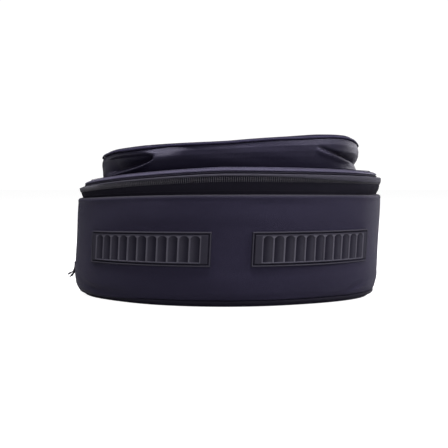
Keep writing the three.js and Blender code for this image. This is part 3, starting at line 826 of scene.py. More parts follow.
def bevel(obj, width):
    """Rounds the edges of a small hard piece and keeps the result."""
    mesh = bmesh.new()
    mesh.from_mesh(obj.data)
    bmesh.ops.recalc_face_normals(mesh, faces=mesh.faces)
    mesh.to_mesh(obj.data)
    mesh.free()
    mod = obj.modifiers.new("edges", "BEVEL")
    mod.width = width
    mod.segments = 3
    mod.limit_method = "ANGLE"
    graph = bpy.context.evaluated_depsgraph_get()
    mesh = bpy.data.meshes.new_from_object(obj.evaluated_get(graph))
    obj.modifiers.clear()
    obj.data = mesh


class Finish:
    """A node material with one principled shader, built up step by step."""

    def __init__(self, name):
        self.material = bpy.data.materials.new(name)
        self.material.use_nodes = True
        self.tree = self.material.node_tree
        self.tree.nodes.clear()
        self.output = self.add("ShaderNodeOutputMaterial")
        self.shader = self.add("ShaderNodeBsdfPrincipled")
        self.link(self.shader.outputs["BSDF"], self.output.inputs["Surface"])
        self.bumps = []

    def add(self, kind, **values):
        """A new node with some of its settings."""
        node = self.tree.nodes.new(kind)
        for key, value in values.items():
            setattr(node, key, value)
        return node

    def link(self, source, target):
        self.tree.links.new(source, target)

    def set(self, **values):
        """Sets values on the shader itself."""
        for key, value in values.items():
            self.shader.inputs[key.replace("_", " ")].default_value = value

    def math(self, operation, a, b=None):
        """Sums on numbers or on other nodes."""
        node = self.add("ShaderNodeMath", operation=operation)
        for socket, value in zip(node.inputs, (a, b)):
            if value is None:
                continue
            if isinstance(value, (int, float)):
                socket.default_value = value
            else:
                self.link(value, socket)
        return node.outputs[0]

    def flat(self):
        """Places on the flat cloth, along and across it."""
        node = self.add("ShaderNodeUVMap", uv_map="cloth")
        split = self.add("ShaderNodeSeparateXYZ")
        self.link(node.outputs["UV"], split.inputs[0])
        return split.outputs["X"], split.outputs["Y"]

    def noise(self, scale, detail, rough):
        """Soft uneven values all over the piece."""
        node = self.add("ShaderNodeTexNoise")
        for key, value in (("Scale", scale), ("Detail", detail), ("Roughness", rough)):
            node.inputs[key].default_value = value
        self.link(self.add("ShaderNodeTexCoord").outputs["Object"], node.inputs["Vector"])
        return node.outputs["Fac"]

    def attribute(self, name):
        """Numbers kept at the places of the piece."""
        return self.add("ShaderNodeAttribute", attribute_name=name).outputs["Fac"]

    def wave(self, value, pitch):
        """Even waves of a given pitch."""
        return self.math("SINE", self.math("MULTIPLY", value, 2 * math.pi / pitch))

    def mix(self, share, low, high):
        """A colour between two others."""
        node = self.add("ShaderNodeMix", data_type="RGBA")
        self.link(share, node.inputs["Factor"])
        for socket, value in ((node.inputs[6], low), (node.inputs[7], high)):
            if isinstance(value, (tuple, list)):
                socket.default_value = (*value, 1.0)
            else:
                self.link(value, socket)
        return node.outputs[2]

    def tone(self, value, low, high, dark, light):
        """From a dark colour to a light one as a value rises."""
        return self.mix(self.range(value, low, high, 0.0, 1.0), dark, light)

    def range(self, value, low, high, to_low, to_high):
        """Carries one range of values over to another."""
        node = self.add("ShaderNodeMapRange")
        self.link(value, node.inputs["Value"])
        for socket, number in zip(node.inputs[1:5], (low, high, to_low, to_high)):
            socket.default_value = number
        return node.outputs["Result"]

    def bump(self, height, distance, strength):
        """Adds fine relief on top of what is there."""
        node = self.add("ShaderNodeBump")
        for key, value in (("Strength", strength), ("Distance", distance)):
            node.inputs[key].default_value = value
        self.link(height, node.inputs["Height"])
        if self.bumps:
            self.link(self.bumps[-1].outputs["Normal"], node.inputs["Normal"])
        self.bumps.append(node)

    def done(self, tone, rough):
        """Joins colour, roughness and relief to the shader."""
        self.link(tone, self.shader.inputs["Base Color"])
        self.link(rough, self.shader.inputs["Roughness"])
        self.link(self.bumps[-1].outputs["Normal"], self.shader.inputs["Normal"])
        return self.material


def shade(value, factor):
    """A colour made lighter or darker."""
    return tuple(min(1.0, c * factor) for c in value)


def woven(name, base, rough, level, sheen, weave=0.00010, ripple=0.0006, worn=None):
    """Coated plain-woven cloth: crossed threads with painted shade in their gaps, soft unevenness,
    dusty patches, and a painted highlight where a piece is marked for it.
    """
    m = Finish(name)
    u, v = m.flat()
    pitch = 0.0006
    cross = m.math("MULTIPLY", m.wave(u, pitch), m.wave(v, pitch))
    slub = m.noise(420.0, 2.0, 0.6)
    threads = m.math("ADD", cross, m.math("MULTIPLY", slub, 0.8))
    cloudy = m.noise(7.0, 4.0, 0.6)
    creased = m.noise(26.0, 3.0, 0.5)
    m.bump(creased, ripple, 0.6)
    m.bump(threads, weave, 0.9)
    tone = m.tone(cloudy, 0.3, 0.7, shade(base, 0.86), shade(base, 1.16))
    # Painted shade: colour darkened in the gaps between the threads
    shaded_threads = m.tone(threads, -0.8, 1.4, shade(base, 0.72), tone)
    # Painted highlight: a lighter colour where the piece is marked, as along the hem's top edge
    if worn is not None:
        shaded_threads = m.mix(m.attribute("worn"), shaded_threads, worn)
    m.set(Specular_IOR_Level=level, Sheen_Weight=sheen, Sheen_Roughness=0.45, Metallic=0.0)
    m.set(Specular_Tint=(0.74, 0.70, 1.0, 1.0), Sheen_Tint=(0.70, 0.66, 1.0, 1.0))
    return m.done(shaded_threads, m.range(cloudy, 0.2, 0.8, rough - 0.06, rough + 0.07))


def ribbed(name, base, pitch, rough, level=0.05):
    """Narrow woven tape or webbing with ribs standing across it, painted darker between them and
    lighter on their crests.
    """
    m = Finish(name)
    u, v = m.flat()
    height = 0.00018
    ribs = m.wave(u, pitch)
    slant = m.wave(m.math("ADD", v, m.math("MULTIPLY", ribs, pitch * 0.35)), pitch * 0.6)
    height_map = m.math("ADD", ribs, m.math("MULTIPLY", slant, 0.45))
    fuzz = m.noise(900.0, 2.0, 0.7)
    m.bump(height_map, height, 0.8)
    m.bump(fuzz, height * 0.6, 0.5)
    # Painted shade in the troughs and painted highlight on the crests of the ribs
    tone = m.tone(height_map, -1.2, 1.2, shade(base, 0.6), shade(base, 1.25))
    m.set(Specular_IOR_Level=level, Metallic=0.0)
    return m.done(tone, m.range(fuzz, 0.2, 0.8, rough - 0.08, rough + 0.08))


def moulded(name, base, worn):
    """Moulded rubber: fine grain, scuffed lighter on the ribs by a mark that also paints shade into
    the cells and grooves.
    """
    m = Finish(name)
    rough, level = 0.55, 0.05
    grain = m.noise(1500.0, 2.0, 0.6)
    smudge = m.noise(38.0, 3.0, 0.6)
    m.bump(grain, 0.00006, 0.7)
    # Share of the lighter colour: high on scuffed ribs, low where shade is painted into cells and
    # grooves
    scuffed_unshaded = m.math("MULTIPLY", m.attribute("rib_wear_and_cell_shade"), m.range(smudge, 0.2, 0.8, 0.85, 1.1))
    tone = m.mix(scuffed_unshaded, base, worn)
    m.set(Specular_IOR_Level=level, Metallic=0.0)
    return m.done(tone, m.range(smudge, 0.2, 0.8, rough - 0.07, rough + 0.08))


def satin(name, base, rough, level, metallic=0.0):
    """Smooth moulded or enamelled surface with faint handling marks."""
    m = Finish(name)
    marks = m.noise(160.0, 4.0, 0.65)
    m.bump(marks, 0.00003, 0.5)
    tone = m.tone(marks, 0.3, 0.7, shade(base, 0.85), shade(base, 1.2))
    m.set(Specular_IOR_Level=level, Metallic=metallic)
    return m.done(tone, m.range(marks, 0.2, 0.8, rough - 0.08, rough + 0.1))


def wrapped(name, base):
    """Cloth drawn round a cord: fine slanting threads and small puckers along it."""
    m = Finish(name)
    u, v = m.flat()
    pitch, rough, level = 0.0007, 0.6, 0.06
    slant = m.wave(m.math("ADD", u, m.math("MULTIPLY", v, 0.8)), pitch)
    pucker = m.noise(120.0, 2.0, 0.5)
    m.bump(pucker, 0.0005, 0.5)
    m.bump(slant, 0.00009, 0.8)
    # Painted shade between the slanting threads and painted highlight on them
    tone = m.tone(slant, -1.0, 1.0, shade(base, 0.75), shade(base, 1.2))
    m.set(Specular_IOR_Level=level, Metallic=0.0)
    return m.done(tone, m.range(pucker, 0.2, 0.8, rough - 0.06, rough + 0.06))


def finished(name, make, *values, **named):
    """The material of that name, made the first time it is asked for."""
    return bpy.data.materials.get(name) or make(name, *values, **named)


def wall_cloth(tint):
    """Cloth of the walls and the back, with a lighter grey painted along the top of the hem as a
    highlight.
    """
    # Lighter grey painted along the top of the hem as a highlight
    hem = (0.027, 0.0265, 0.0300)
    return finished("nylon_wall", woven, tuple(tint.nylon), 0.5, 0.06, 0.02, worn=hem)


def cord_cloth(tint):
    """Cloth round the cords of the back and the lid."""
    return finished("piping_cloth", wrapped, tuple(tint.piping))


def zip_finishes(tint):
    """Woven tape, teeth and enamelled slider, alike on both zips."""
    return (
        finished("zip_tape_weave", ribbed, tuple(tint.tape), 0.0012, 0.85),
        finished("zip_tooth_plastic", satin, tuple(tint.teeth), 0.45, 0.12),
        finished("slider_enamel", satin, tuple(tint.enamel), 0.35, 0.5, 0.6),
    )


def dress(obj, material, slot, *nodes):
    """Gives a piece its material and sets it in the frame, in place of solids where named."""
    obj.data.materials.append(material)
    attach(obj, ROOT)
    if nodes:
        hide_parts(*nodes)
    return obj


def scene_form(context):
    """The bag's form and its colours, as the panel sets them."""
    settings = context.scene.guitar_bag
    return Form(settings), settings.colours


def section_mm(rows, base=0.0):
    """A table's section in metres, its heights counted from a base."""
    return np.array([[row["d"] * MM, row["z"] * MM + base] for row in rows])


def outward(form, s):
    """Level direction that points out of the outline at each place."""
    _, _, h = form.outline.at(s)
    return np.stack([np.sin(h), -np.cos(h), np.zeros_like(h)], -1)


class BAG_OT_back(Operator):
    """Padded back that lies on the floor, with the covered cord of its seam"""

    bl_idname = "guitar_bag.back"
    bl_label = "Back"

    def execute(self, context):
        form, tint = scene_form(context)
        s = form.stations
        edge = form.rails(section_mm(BACK_EDGE), s)

        def face(rail):
            def place(right, left, share):
                x, v, _ = form.outline.at(s[right], rail["d"] * MM)
                x, v = bowed(x, v, share)
                return form.settle(x, v, np.full(x.shape, rail["z"] * MM))

            return place

        under, over = face(BACK_EDGE[0]), face(BACK_EDGE[-1])
        panel = panel_object("back_panel_padded", edge, BACK_ACROSS, under, over)
        dress(panel, wall_cloth(tint), "nylon", "back_panel")
        section = circle(form.shape.back_cord, BACK_CORD["d"] * MM, BACK_CORD["z"] * MM)
        cord = ring_object("back_seam_cord", form.rails(section, s))
        dress(cord, cord_cloth(tint), "piping", "back_piping")
        return {"FINISHED"}


class BAG_OT_gusset(Operator):
    """Padded side wall with its rolled hem and the creases at its foot"""

    bl_idname = "guitar_bag.gusset"
    bl_label = "Side wall"

    def execute(self, context):
        form, tint = scene_form(context)
        s = form.stations
        step, hem_highlight_from, hem_highlight_over = 3.2, 142.5, 1.8
        outer = spline(GUSSET_OUTER, ("d", "z"), step) * MM
        inner = section_mm(GUSSET_INNER)
        section = np.concatenate([outer, inner])
        push = np.array([self.push(form, s, z) for _, z in outer])
        push = np.concatenate([push, np.zeros((len(inner), len(s)))])
        wall = ring_object("gusset_padded", form.rails(section, s, push, ROLL_HANG))
        self.fill(form, wall, s, section[:, 1], len(outer))
        # Rows at the top of the hem get the painted highlight colour
        hem = np.clip((section[:, 1] / MM - hem_highlight_from) / hem_highlight_over, 0, 1)
        hem[len(outer) :] = 0.0
        mark(wall, "worn", np.repeat(hem, len(s)))
        dress(wall, wall_cloth(tint), "nylon", "gusset")
        return {"FINISHED"}

    def fill(self, form, wall, s, heights, outer):
        """Swells the wall between its seams and round the scuff plates, with its lining held."""
        p, at = form.plates, np.abs(form.signed(s) - form.plates.shift)
        end, top, high = p.start + p.long, p.low + p.high, heights[:, None]
        near, far, past = 0.002, 0.016, 0.020
        foot_seam, hem_seam = (0.014, 0.034), (0.118, 0.136)
        plate = (1 - smooth(at, end, end + past))[None, :]
        beside = smooth(high, p.low - far, p.low - near) * (1 - smooth(high, top + near, top + far))
        free = smooth(high, *foot_seam) * (1 - smooth(high, *hem_seam)) * (1 - plate * beside)
        free[outer:] = 0.0
        plump(wall, free.ravel(), pressure=80.0, cap=0.0016)

    def push(self, form, s, z):
        """How far the wall stands out or in at one height, for soft waves and creases."""
        signed, z, strength = form.signed(s) / MM, z / MM, 0.7
        past_plates = smooth(np.abs(signed), 205, 235)
        over_plates = 1 - smooth(z, 30, 48) * (1 - smooth(z, 103, 118))
        over_foot, under_hem = smooth(z, 8, 20), 1 - smooth(z, 132, 140)
        free = np.clip(past_plates + over_plates, 0, 1) * over_foot * under_hem
        waves = sum(
            row["high"] * np.sin(signed / row["long"] + z / row["tall"] + row["start"])
            for row in WALL_WAVES
        )
        out = free * waves * strength
        for row in FOOT_CREASES:
            along = (signed - row["s"]) / row["long"]
            line = row["z"] + row["slope"] * (signed - row["s"])
            off = (z - line) / row["wide"]
            crest = 0.7 * np.exp(-((off + 1.9) ** 2))
            out += row["deep"] * np.exp(-(along**2)) * (crest - np.exp(-(off**2)))
        return out * MM


class BAG_OT_plates(Operator):
    """Pair of moulded rubber scuff plates on the tail"""

    bl_idname = "guitar_bag.plates"
    bl_label = "Scuff plates"

    def execute(self, context):
        form, tint = scene_form(context)
        rubber = finished("plate_rubber", moulded, tuple(tint.rubber), tuple(tint.scuffed_unshaded))
        for name, side in (("bumper_left", -1), ("bumper_right", 1)):
            plate = self.plate(form, name + "_moulded", side)
            dress(plate, rubber, "bumper_rubber", name)
        return {"FINISHED"}

    def cells(self, form, a, b):
        """Place across a cell, depth inside its rim, and how fully it lies on an upright rib."""
        p = form.plates
        first, low, high = 14.2 * MM, 5.4 * MM, p.high - 5.6 * MM
        arched = 3.4 * MM
        cell = np.floor((a - first) / p.pitch)
        inside = (a - first) - cell * p.pitch
        wide = p.pitch - p.rib
        live = (cell >= 0) & (cell < p.cells)
        across = np.clip(inside / wide, 0, 1)
        arch = high - arched * np.abs(2 * across - 1) ** 3
        gap = np.minimum(np.minimum(inside, wide - inside), np.minimum(b - low, arch - b))
        beside = np.where(cell < 0, a - first, first + p.cells * p.pitch - p.rib - a)
        gap = np.where(live, gap, np.minimum(beside, np.minimum(b - low, high - b)))
        upright = smooth(np.where(live, 0.0, beside), -2.0 * MM, -0.7 * MM)
        ends = 1 - smooth(b, high - 0.6 * MM, high + 0.8 * MM)
        upright *= smooth(b, low - 0.8 * MM, low + 0.4 * MM) * ends
        return across, gap, upright

    def rim(self, form, a, b):
        """Distance from the nearest edge of the plate."""
        p = form.plates
        return np.minimum(np.minimum(a, p.long - a), np.minimum(b, p.high - b))

    def height(self, form, a, b):
        """Height of the moulding above its backing, a from the middle end and b from below."""
        p = form.plates
        soft, base, bar_end, plate_from = 0.6 * MM, 0.5 * MM, 1.7 * MM, 3.3 * MM
        edge = self.rim(form, a, b)
        bar = smooth(edge, 0, soft) * (1 - smooth(edge, bar_end, bar_end + soft))
        plate = smooth(edge, plate_from, plate_from + soft)
        across, gap, _ = self.cells(form, a, b)
        cut = smooth(gap, -0.3 * MM, 0.6 * MM) * p.thick * (0.74 - 0.40 * across)
        crown = 0.25 * MM * np.exp(-((gap / (0.9 * MM)) ** 2)) * plate * (gap < 0)
        return base + (p.thick - base) * np.maximum(bar * 0.96, plate) - cut + crown

    def scuffed_unshaded(self, form, a, b):
        """How light the plate is: ribs most, the frame less, plain end and cells least. Ribs are
        lighter as scuffed; the cells, darkest at their side towards the middle, and the groove
        inside the frame are darker as painted shade.
        """
        edge = self.rim(form, a, b)
        across, gap, upright = self.cells(form, a, b)
        bar = smooth(edge, 0, 0.5 * MM) * (1 - smooth(edge, 1.7 * MM, 2.2 * MM))
        plate = smooth(edge, 3.4 * MM, 3.9 * MM)
        plain = 0.15 + 0.58 * upright
        # Painted shade in each cell, darkest at its side towards the middle of the bag
        floor = 0.24 * smooth(across, 0.15, 0.95)
        cell = smooth(gap, -0.4 * MM, 0.5 * MM)
        # The groove between frame and plate gets nothing, so it is darkest: painted shade
        return np.maximum(bar * 0.30, plate * (plain * (1 - cell) + floor * cell))

    def backing(self, rows, cols):
        """Faces that close a plate behind: upright strips, and a fan of triangles at each end."""
        index = np.arange(rows * cols).reshape(rows, cols)
        low, high = index[0, 1:-1], index[-1, 1:-1]
        back = np.stack([low[1:], low[:-1], high[:-1], high[1:]], -1)
        ends = []
        for inner, edge in ((index[:, 1], index[:, 0]), (index[::-1, -2], index[::-1, -1])):
            ends += [[inner[0], a, b] for a, b in zip(edge[:-1], edge[1:])]
            ends.append([inner[0], edge[-1], inner[-1]])
        return back, np.array(ends)

    def plate(self, form, name, side):
        """One plate, its moulded face wrapped on the wall and closed behind."""
        p = form.plates
        cols, rows = round(p.long / p.grain) + 1, round(p.high / p.grain) + 1
        a, b = np.meshgrid(np.linspace(0, p.long, cols), np.linspace(0, p.high, rows))
        h = self.height(form, a, b)
        # Lighter on scuffed ribs, darker as painted shade in the cells and the groove
        scuff_and_shade = self.scuffed_unshaded(form, a, b)
        lift = np.pad(h, 1)
        a, b = np.pad(a, 1, mode="edge"), np.pad(b, 1, mode="edge")
        draft, wall = 0.15 * MM, -1.15 * MM
        a[:, 0], a[:, -1] = -draft, p.long + draft
        b[0], b[-1] = -draft, p.high + draft
        x, v, _ = form.outline.at(p.shift + side * (p.start + a), wall - lift)
        grid = form.settle(x, v, p.low + b)
        if side < 0:
            grid, scuff_and_shade = grid[:, ::-1], scuff_and_shade[:, ::-1]
        u, w = lengths(grid, 1, False), lengths(grid, 0, False)
        quads, flat = grid_faces(*grid.shape[:2], False, False, u, w)
        back, ends = self.backing(*grid.shape[:2])
        flat = np.concatenate([flat.reshape(-1, 2), np.zeros((back.size + ends.size, 2))])
        obj = build(name, grid.reshape(-1, 3), np.concatenate([quads, back]), flat, ends)
        mark(obj, "rib_wear_and_cell_shade", np.pad(scuff_and_shade, 1))
        return obj


class BAG_OT_tab(Operator):
    """Sewn-in webbing tab at the foot of the left side, two plies with cut ends"""

    bl_idname = "guitar_bag.tab"
    bl_label = "Webbing tab"

    def execute(self, context):
        form, tint = scene_form(context)
        cloth = finished("tab_webbing", ribbed, tuple(tint.webbing), 0.0011, 0.85)
        tab = self.ply(form, "strap_tab_outer_ply", TAB_OUTER, 0.4)
        second = self.ply(form, "strap_tab_under_ply", TAB_UNDER, -0.5)
        dress(tab, cloth, "webbing", "strap_tab")
        dress(second, cloth, "webbing")
        return {"FINISHED"}

    def ply(self, form, name, line, twist):
        """One ply of the tab, curled and a little twisted towards its cut end."""
        path = spline(line, ("out", "z"), 0.8) * MM
        ahead = np.gradient(path, axis=0)
        ahead /= np.linalg.norm(ahead, axis=1)[:, None]
        side = np.stack([-ahead[:, 1], ahead[:, 0]], -1)
        thick, half, middle = 0.75 * MM, 12 * MM, 0.178
        t = np.linspace(-1, 1, 25)
        # Share of the ply's thickness, thinner towards its side edges
        worn = 1 - 0.5 * np.abs(t) ** 12
        share = np.linspace(0, 1, len(path)) ** 2
        sheets = []
        for sign in (1, -1):
            out = path[:, 0, None] + sign * thick * side[:, 0, None] * worn
            z = path[:, 1, None] + sign * thick * side[:, 1, None] * worn
            z = z + share[:, None] * (twist * t + 0.5 * np.cos(2.2 * t)) * MM
            v = middle + half * np.broadcast_to(t, out.shape)
            sheets.append(form.settle(-form.shape.half_width - out, v, z))
        return strip_object(name, np.concatenate([sheets[0], sheets[1][::-1]]))


class BAG_OT_zip(Operator):
    """Main zip: two tapes, interlocked teeth, stitching and the slider at the head"""

    bl_idname = "guitar_bag.zip"
    bl_label = "Main zip"

    def execute(self, context):
        form, tint = scene_form(context)
        tape, teeth, enamel = zip_finishes(tint)
        for name, low, high, node in (
            ("zip_tape_below", -1.2, 19.55, "zip_tape_lower"),
            ("zip_tape_above", 19.6, 23.6, "zip_tape_upper"),
        ):
            dress(self.tape(form, name, low, high), tape, "zip_tape", node)
        dress(self.teeth(form, "zip_teeth_below", -1), teeth, "zip_teeth", "zip_chain")
        dress(self.teeth(form, "zip_teeth_above", 1), teeth, "zip_teeth")
        thread = finished("tape_thread", satin, tuple(tint.tape), 0.6, 0.1)
        dress(self.seam(form), thread, "zip_tape")
        dress(self.slider(form), enamel, "slider", "zip_slider")
        return {"FINISHED"}

    def tape(self, form, name, low, high):
        """One woven tape between two heights above the hem."""
        p, hem, rows = form.zip, form.shape.hem, 9
        z, s = np.linspace(low, high, rows) * MM, form.stations
        d = form.tape_in(z)
        face = np.stack([d, z + hem], -1)
        back = np.stack([d + p.tape_thick, z + hem], -1)[::-1]
        section = np.concatenate([face, back])
        slack = [self.slack(form, s, h - hem) for h in section[:, 1]]
        return ring_object(name, form.rails(section, s, slack))

    def slack(self, form, s, z):
        """How far the slack tape stands out at the right end of the tail, with small puckers."""
        x, v, _ = form.outline.at(s)
        near, top = 1 - smooth(v, *NEAR_SIDES), 19.5 * MM
        right = smooth(x, 0.110, 0.195) * near
        left = smooth(-x, 0.150, 0.205) * near
        belly = math.sin(math.pi * min(1.0, max(0.0, z / top)))
        at = form.signed(s) / MM
        pucker = 0.5 * np.sin(at / 3.1) + 0.4 * np.sin(at / 5.3 + 1.0)
        return belly * (right * 1.8 + left * 0.6 + (right + left) * 0.5 * pucker) * MM

    def seam(self, form):
        """The row of stitches that sews the lower tape to the wall."""
        s, z, lift = np.append(form.stations, form.outline.total), 5.0 * MM, 0.25 * MM
        line = form.rails([(form.tape_in(z) - lift, form.shape.hem + z)], s)[0]
        pitch, radius = 3.4 * MM, 0.32 * MM
        return stitch_object("zip_tape_stitches", line, outward(form, s), pitch, radius)

    def teeth(self, form, name, side):
        """One row of teeth along the closing line, rooted in its own tape."""
        p, hem, z, proud = form.zip, form.shape.hem, form.zip.seam, 0.35 * MM
        count = round(form.outline.total / p.pitch)
        s = np.arange(count) * form.outline.total / count
        line = [(form.tape_in(h) - proud, hem + h) for h in (z, z + MM)]
        here, above = form.rails(line, s)
        ahead = form.rails(line[:1], s + 0.5 * MM)[0]
        points, quads = tooth(p, side)
        return scatter(name, points, quads, here, square_frames(ahead - here, above - here))

    def slider(self, form):
        """Slider body with a bridge and a hanging pull, at the middle of the head end."""
        hem, length, thick = form.shape.hem, form.shape.length, 1.3
        points, quads = blocks(
            MAIN_SLIDER, lambda x, z, gap: (x, length - form.tape_in(z) + gap, hem + z)
        )
        start = len(points)
        for row in MAIN_PULL:
            for x, out in ((-1, 0.0), (1, 0.0), (1, thick), (-1, thick)):
                y = length - (row["d"] - out * 0.5 + 0.2) * MM
                points.append((x * row["half"] * MM, y, hem + row["z"] * MM))
        end = len(points) - 4
        for a in range(start, end, 4):
            quads += [[a + i, a + (i + 1) % 4, a + 4 + (i + 1) % 4, a + 4 + i] for i in range(4)]
        quads += [[start, start + 3, start + 2, start + 1], [end + i for i in range(4)]]
        points = form.settle(*np.array(points).T)
        return slider_object("zip_slider_and_pull", points, quads, 0.35 * MM)


class BAG_OT_lid(Operator):
    """Domed padded lid with its covered cord and the binding that hangs over the zip"""

    bl_idname = "guitar_bag.lid"
    bl_label = "Lid"

    def execute(self, context):
        form, tint = scene_form(context)
        s, hem = form.stations, form.shape.hem
        # The lid's lighter colour stands for painted light on the bag's top
        cloth = finished("nylon_lid", woven, tuple(tint.lid), rough=0.42, level=0.25, sheen=0.05)
        edge = form.rails(section_mm(LID_EDGE, hem), s, draw=form.shape.lid_draw)

        def under(right, left, share):
            lining = hem + 25 * MM
            x, v, _ = form.outline.at(s[right], LID_EDGE[0]["d"] * MM)
            x, v = bowed(x, v, share)
            return form.settle(x, v, np.full(x.shape, lining))

        def over(right, left, share):
            d = LID_EDGE[-1]["d"] * MM + form.shape.lid_draw * form.drawn(s[right])
            x, v, _ = form.outline.at(s[right], d)
            x, v = bowed(x, v, share)
            place = form.lid_place(x, v)
            soft = 0.9 * np.sin(x / MM / 53 + v / MM / 71) * np.sin(v / MM / 47 - x / MM / 90)
            fade = smooth(form.outline.depth(x, v), 0.024, 0.060)
            place[..., 2] += soft * fade * 0.8 * MM
            return place

        lid = panel_object("lid_padded", edge, LID_ACROSS, under, over)
        self.fill(form, lid)
        dress(lid, cloth, "nylon", "lid_panel")
        section = circle(form.shape.lid_cord, LID_CORD["d"] * MM, hem + LID_CORD["z"] * MM)
        cord = ring_object("lid_edge_cord", form.rails(section, s, draw=form.shape.lid_draw))
        dress(cord, cord_cloth(tint), "piping", "lid_piping")
        binding = finished("lid_binding", ribbed, tuple(tint.border), 0.0009, 0.6, 0.12)
        dress(self.border(form), binding, "border", "lid_border")
        thread = finished("sewing_thread", satin, tuple(tint.thread), 0.6, 0.25)
        dress(self.stitches(form), thread, "nylon")
        return {"FINISHED"}

    def fill(self, form, lid):
        """Swells the lid beyond the pocket, with its edge and its lining held."""
        place = np.empty(3 * len(lid.data.vertices), np.float32)
        lid.data.vertices.foreach_get("co", place)
        place = place.reshape(-1, 3)
        v = place[:, 1] + form.shape.length / 2
        inside = smooth(form.outline.depth(place[:, 0], v), 0.021, 0.040)
        upper = (len(form.stations) // 2 - 1) * (LID_ACROSS - 1)
        top = np.arange(len(place)) >= len(place) - upper
        plump(lid, top * inside * smooth(v, 0.450, 0.500), pressure=120.0, cap=0.004)

    def border(self, form):
        """Rolled binding; it droops over the teeth along the near right side."""
        s = form.stations
        step, hang, out, drawn = 0.9, 5.2 * MM, 1.7 * MM, 2.5 * MM
        section = spline([*BORDER_SECTION, BORDER_SECTION[0]], ("d", "z"), step)[:-1] * MM
        x, v, h = form.outline.at(s)
        droop = smooth(x, 0.030, 0.200) * (1 - smooth(v, *NEAR_SIDES))
        rows = []
        for d, z in section:
            low = 1 - smooth(z, 23.4 * MM, 26.6 * MM)
            inward = d - droop * out * smooth(-d, -2.0 * MM, 0.5 * MM) + drawn * form.drawn(s)
            height = form.shape.hem + z - droop * low * hang
            rows.append(form.settle(x - inward * np.sin(h), v + inward * np.cos(h), height))
        return ring_object("lid_binding_rolled", np.array(rows))

    def stitches(self, form):
        """The row of stitches along the lid's edge."""
        s, inward, lift = np.append(form.stations, form.outline.total), 10.5 * MM, 0.25 * MM
        x, v, _ = form.outline.at(s, inward + form.shape.lid_draw * form.drawn(s))
        line = form.lid_place(x, v)
        line[:, 2] += lift
        up = np.tile([0.0, 0.0, 1.0], (len(s), 1))
        return stitch_object("lid_edge_stitches", line, up, 3.6 * MM, 0.34 * MM)


class PocketShape:
    """The soft pocket's surface: where its wall and upper edge lie, with hollows and rolls."""

    def __init__(self, form):
        self.form = form

    def hollow(self, x, up):
        """How far the wall is pushed in by its hollows and out by the ridges below them."""
        x = x / MM
        depth = np.zeros(np.shape(x))
        for row in POCKET_HOLLOWS:
            along = np.clip((x - row["x0"]) / (row["x1"] - row["x0"]), 0, 1)
            low = row["tip"] + (row["low"] - row["tip"]) * along ** row["bend"]
            high = row["tip"] + (row["high"] - row["tip"]) * np.sqrt(along)
            wide = np.maximum(high - low, 0.02)
            t = (up - low) / wide
            lip = 0.17
            dip = smooth(t, -0.02, lip) * (1 - np.clip((t - lip) / (1 - lip), 0, 1))
            end, top = 1 - smooth(along, row["fade"], 1), 1 - smooth(up, 0.72, 0.95)
            depth += row["deep"] * dip * smooth(wide, 0.03, 0.30) * end * top
            line = np.exp(-(((up - low - 0.09) / 0.06) ** 2))
            begin, finish = smooth(along, 0.02, 0.18), 1 - smooth(along, 0.6, 1.0)
            depth += row["groove"] * line * begin * finish
            roll = np.exp(-(((up - low + 0.04) / 0.11) ** 2))
            depth -= row["ridge"] * roll * smooth(along, 0.0, 0.12) * (1 - smooth(along, 0.7, 0.95))
        return depth * MM

    def roll(self, x):
        """How far the top of the wall is rolled back, most to the left of the middle."""
        least, most, middle, spread = 0.3, 7.6, -93, 25
        return (least + most * np.exp(-(((x / MM - middle) / spread) ** 2))) * MM

    def bulge(self, x):
        """How far the face swells above its cord at both ends."""
        most = 2.0 * MM
        return most * np.maximum(smooth(-x, 0.085, 0.140), smooth(x, 0.050, 0.115))

    def near(self, v):
        """One at the near end of the pocket, fading to none along its sides."""
        return 1 - smooth(v, *POCKET_NEAR)

    def rail(self, s, up, cloth):
        """One level of the pocket wall, up as a share of its height."""
        form = self.form
        x, v, h = form.pocket_line.at(s)
        share = smooth(np.abs(x), 0.130, 0.186)
        front, left, right = (
            np.interp(up, column(POCKET_PROFILE, "up"), column(POCKET_PROFILE, key))
            for key in ("front", "left", "right")
        )
        tuck = (front + (np.where(x < 0, left, right) - front) * share) * MM
        near = self.near(v)
        back = self.roll(x) * near * smooth(up, 0.45, 1.15) * 1.4
        soft = 0.25 * np.sin(x / MM / 17 + 9 * up) * np.sin(v / MM / 23 + 3)
        soft = soft * math.sin(math.pi * up)
        inward = cloth + tuck + back + near * self.hollow(x, up) + soft * MM
        px, pv = x - inward * np.sin(h), v + inward * np.cos(h)
        base = form.lid_place(px, pv)
        x_here = px + form.pocket_lean()
        low = base[:, 2] + 0.3 * MM
        z = low + up * (form.rim(x_here) - near * self.bulge(x) - low)
        return np.stack([x_here, base[:, 1], z], -1)

    def place(self, s, d, lift, rise=0.0):
        """A place of the pocket's upper edge, d inward and lifted above the rim."""
        form = self.form
        x, v, h = form.pocket_line.at(s)
        near = self.near(v)
        d = d + near * self.roll(x) * 1.35
        lift = lift - near * self.bulge(x) * (1 - rise)
        px, pv = x - d * np.sin(h), v + d * np.cos(h)
        x_here = px + form.pocket_lean()
        return np.stack([x_here, pv - form.shape.length / 2, form.rim(x_here) + lift], -1)


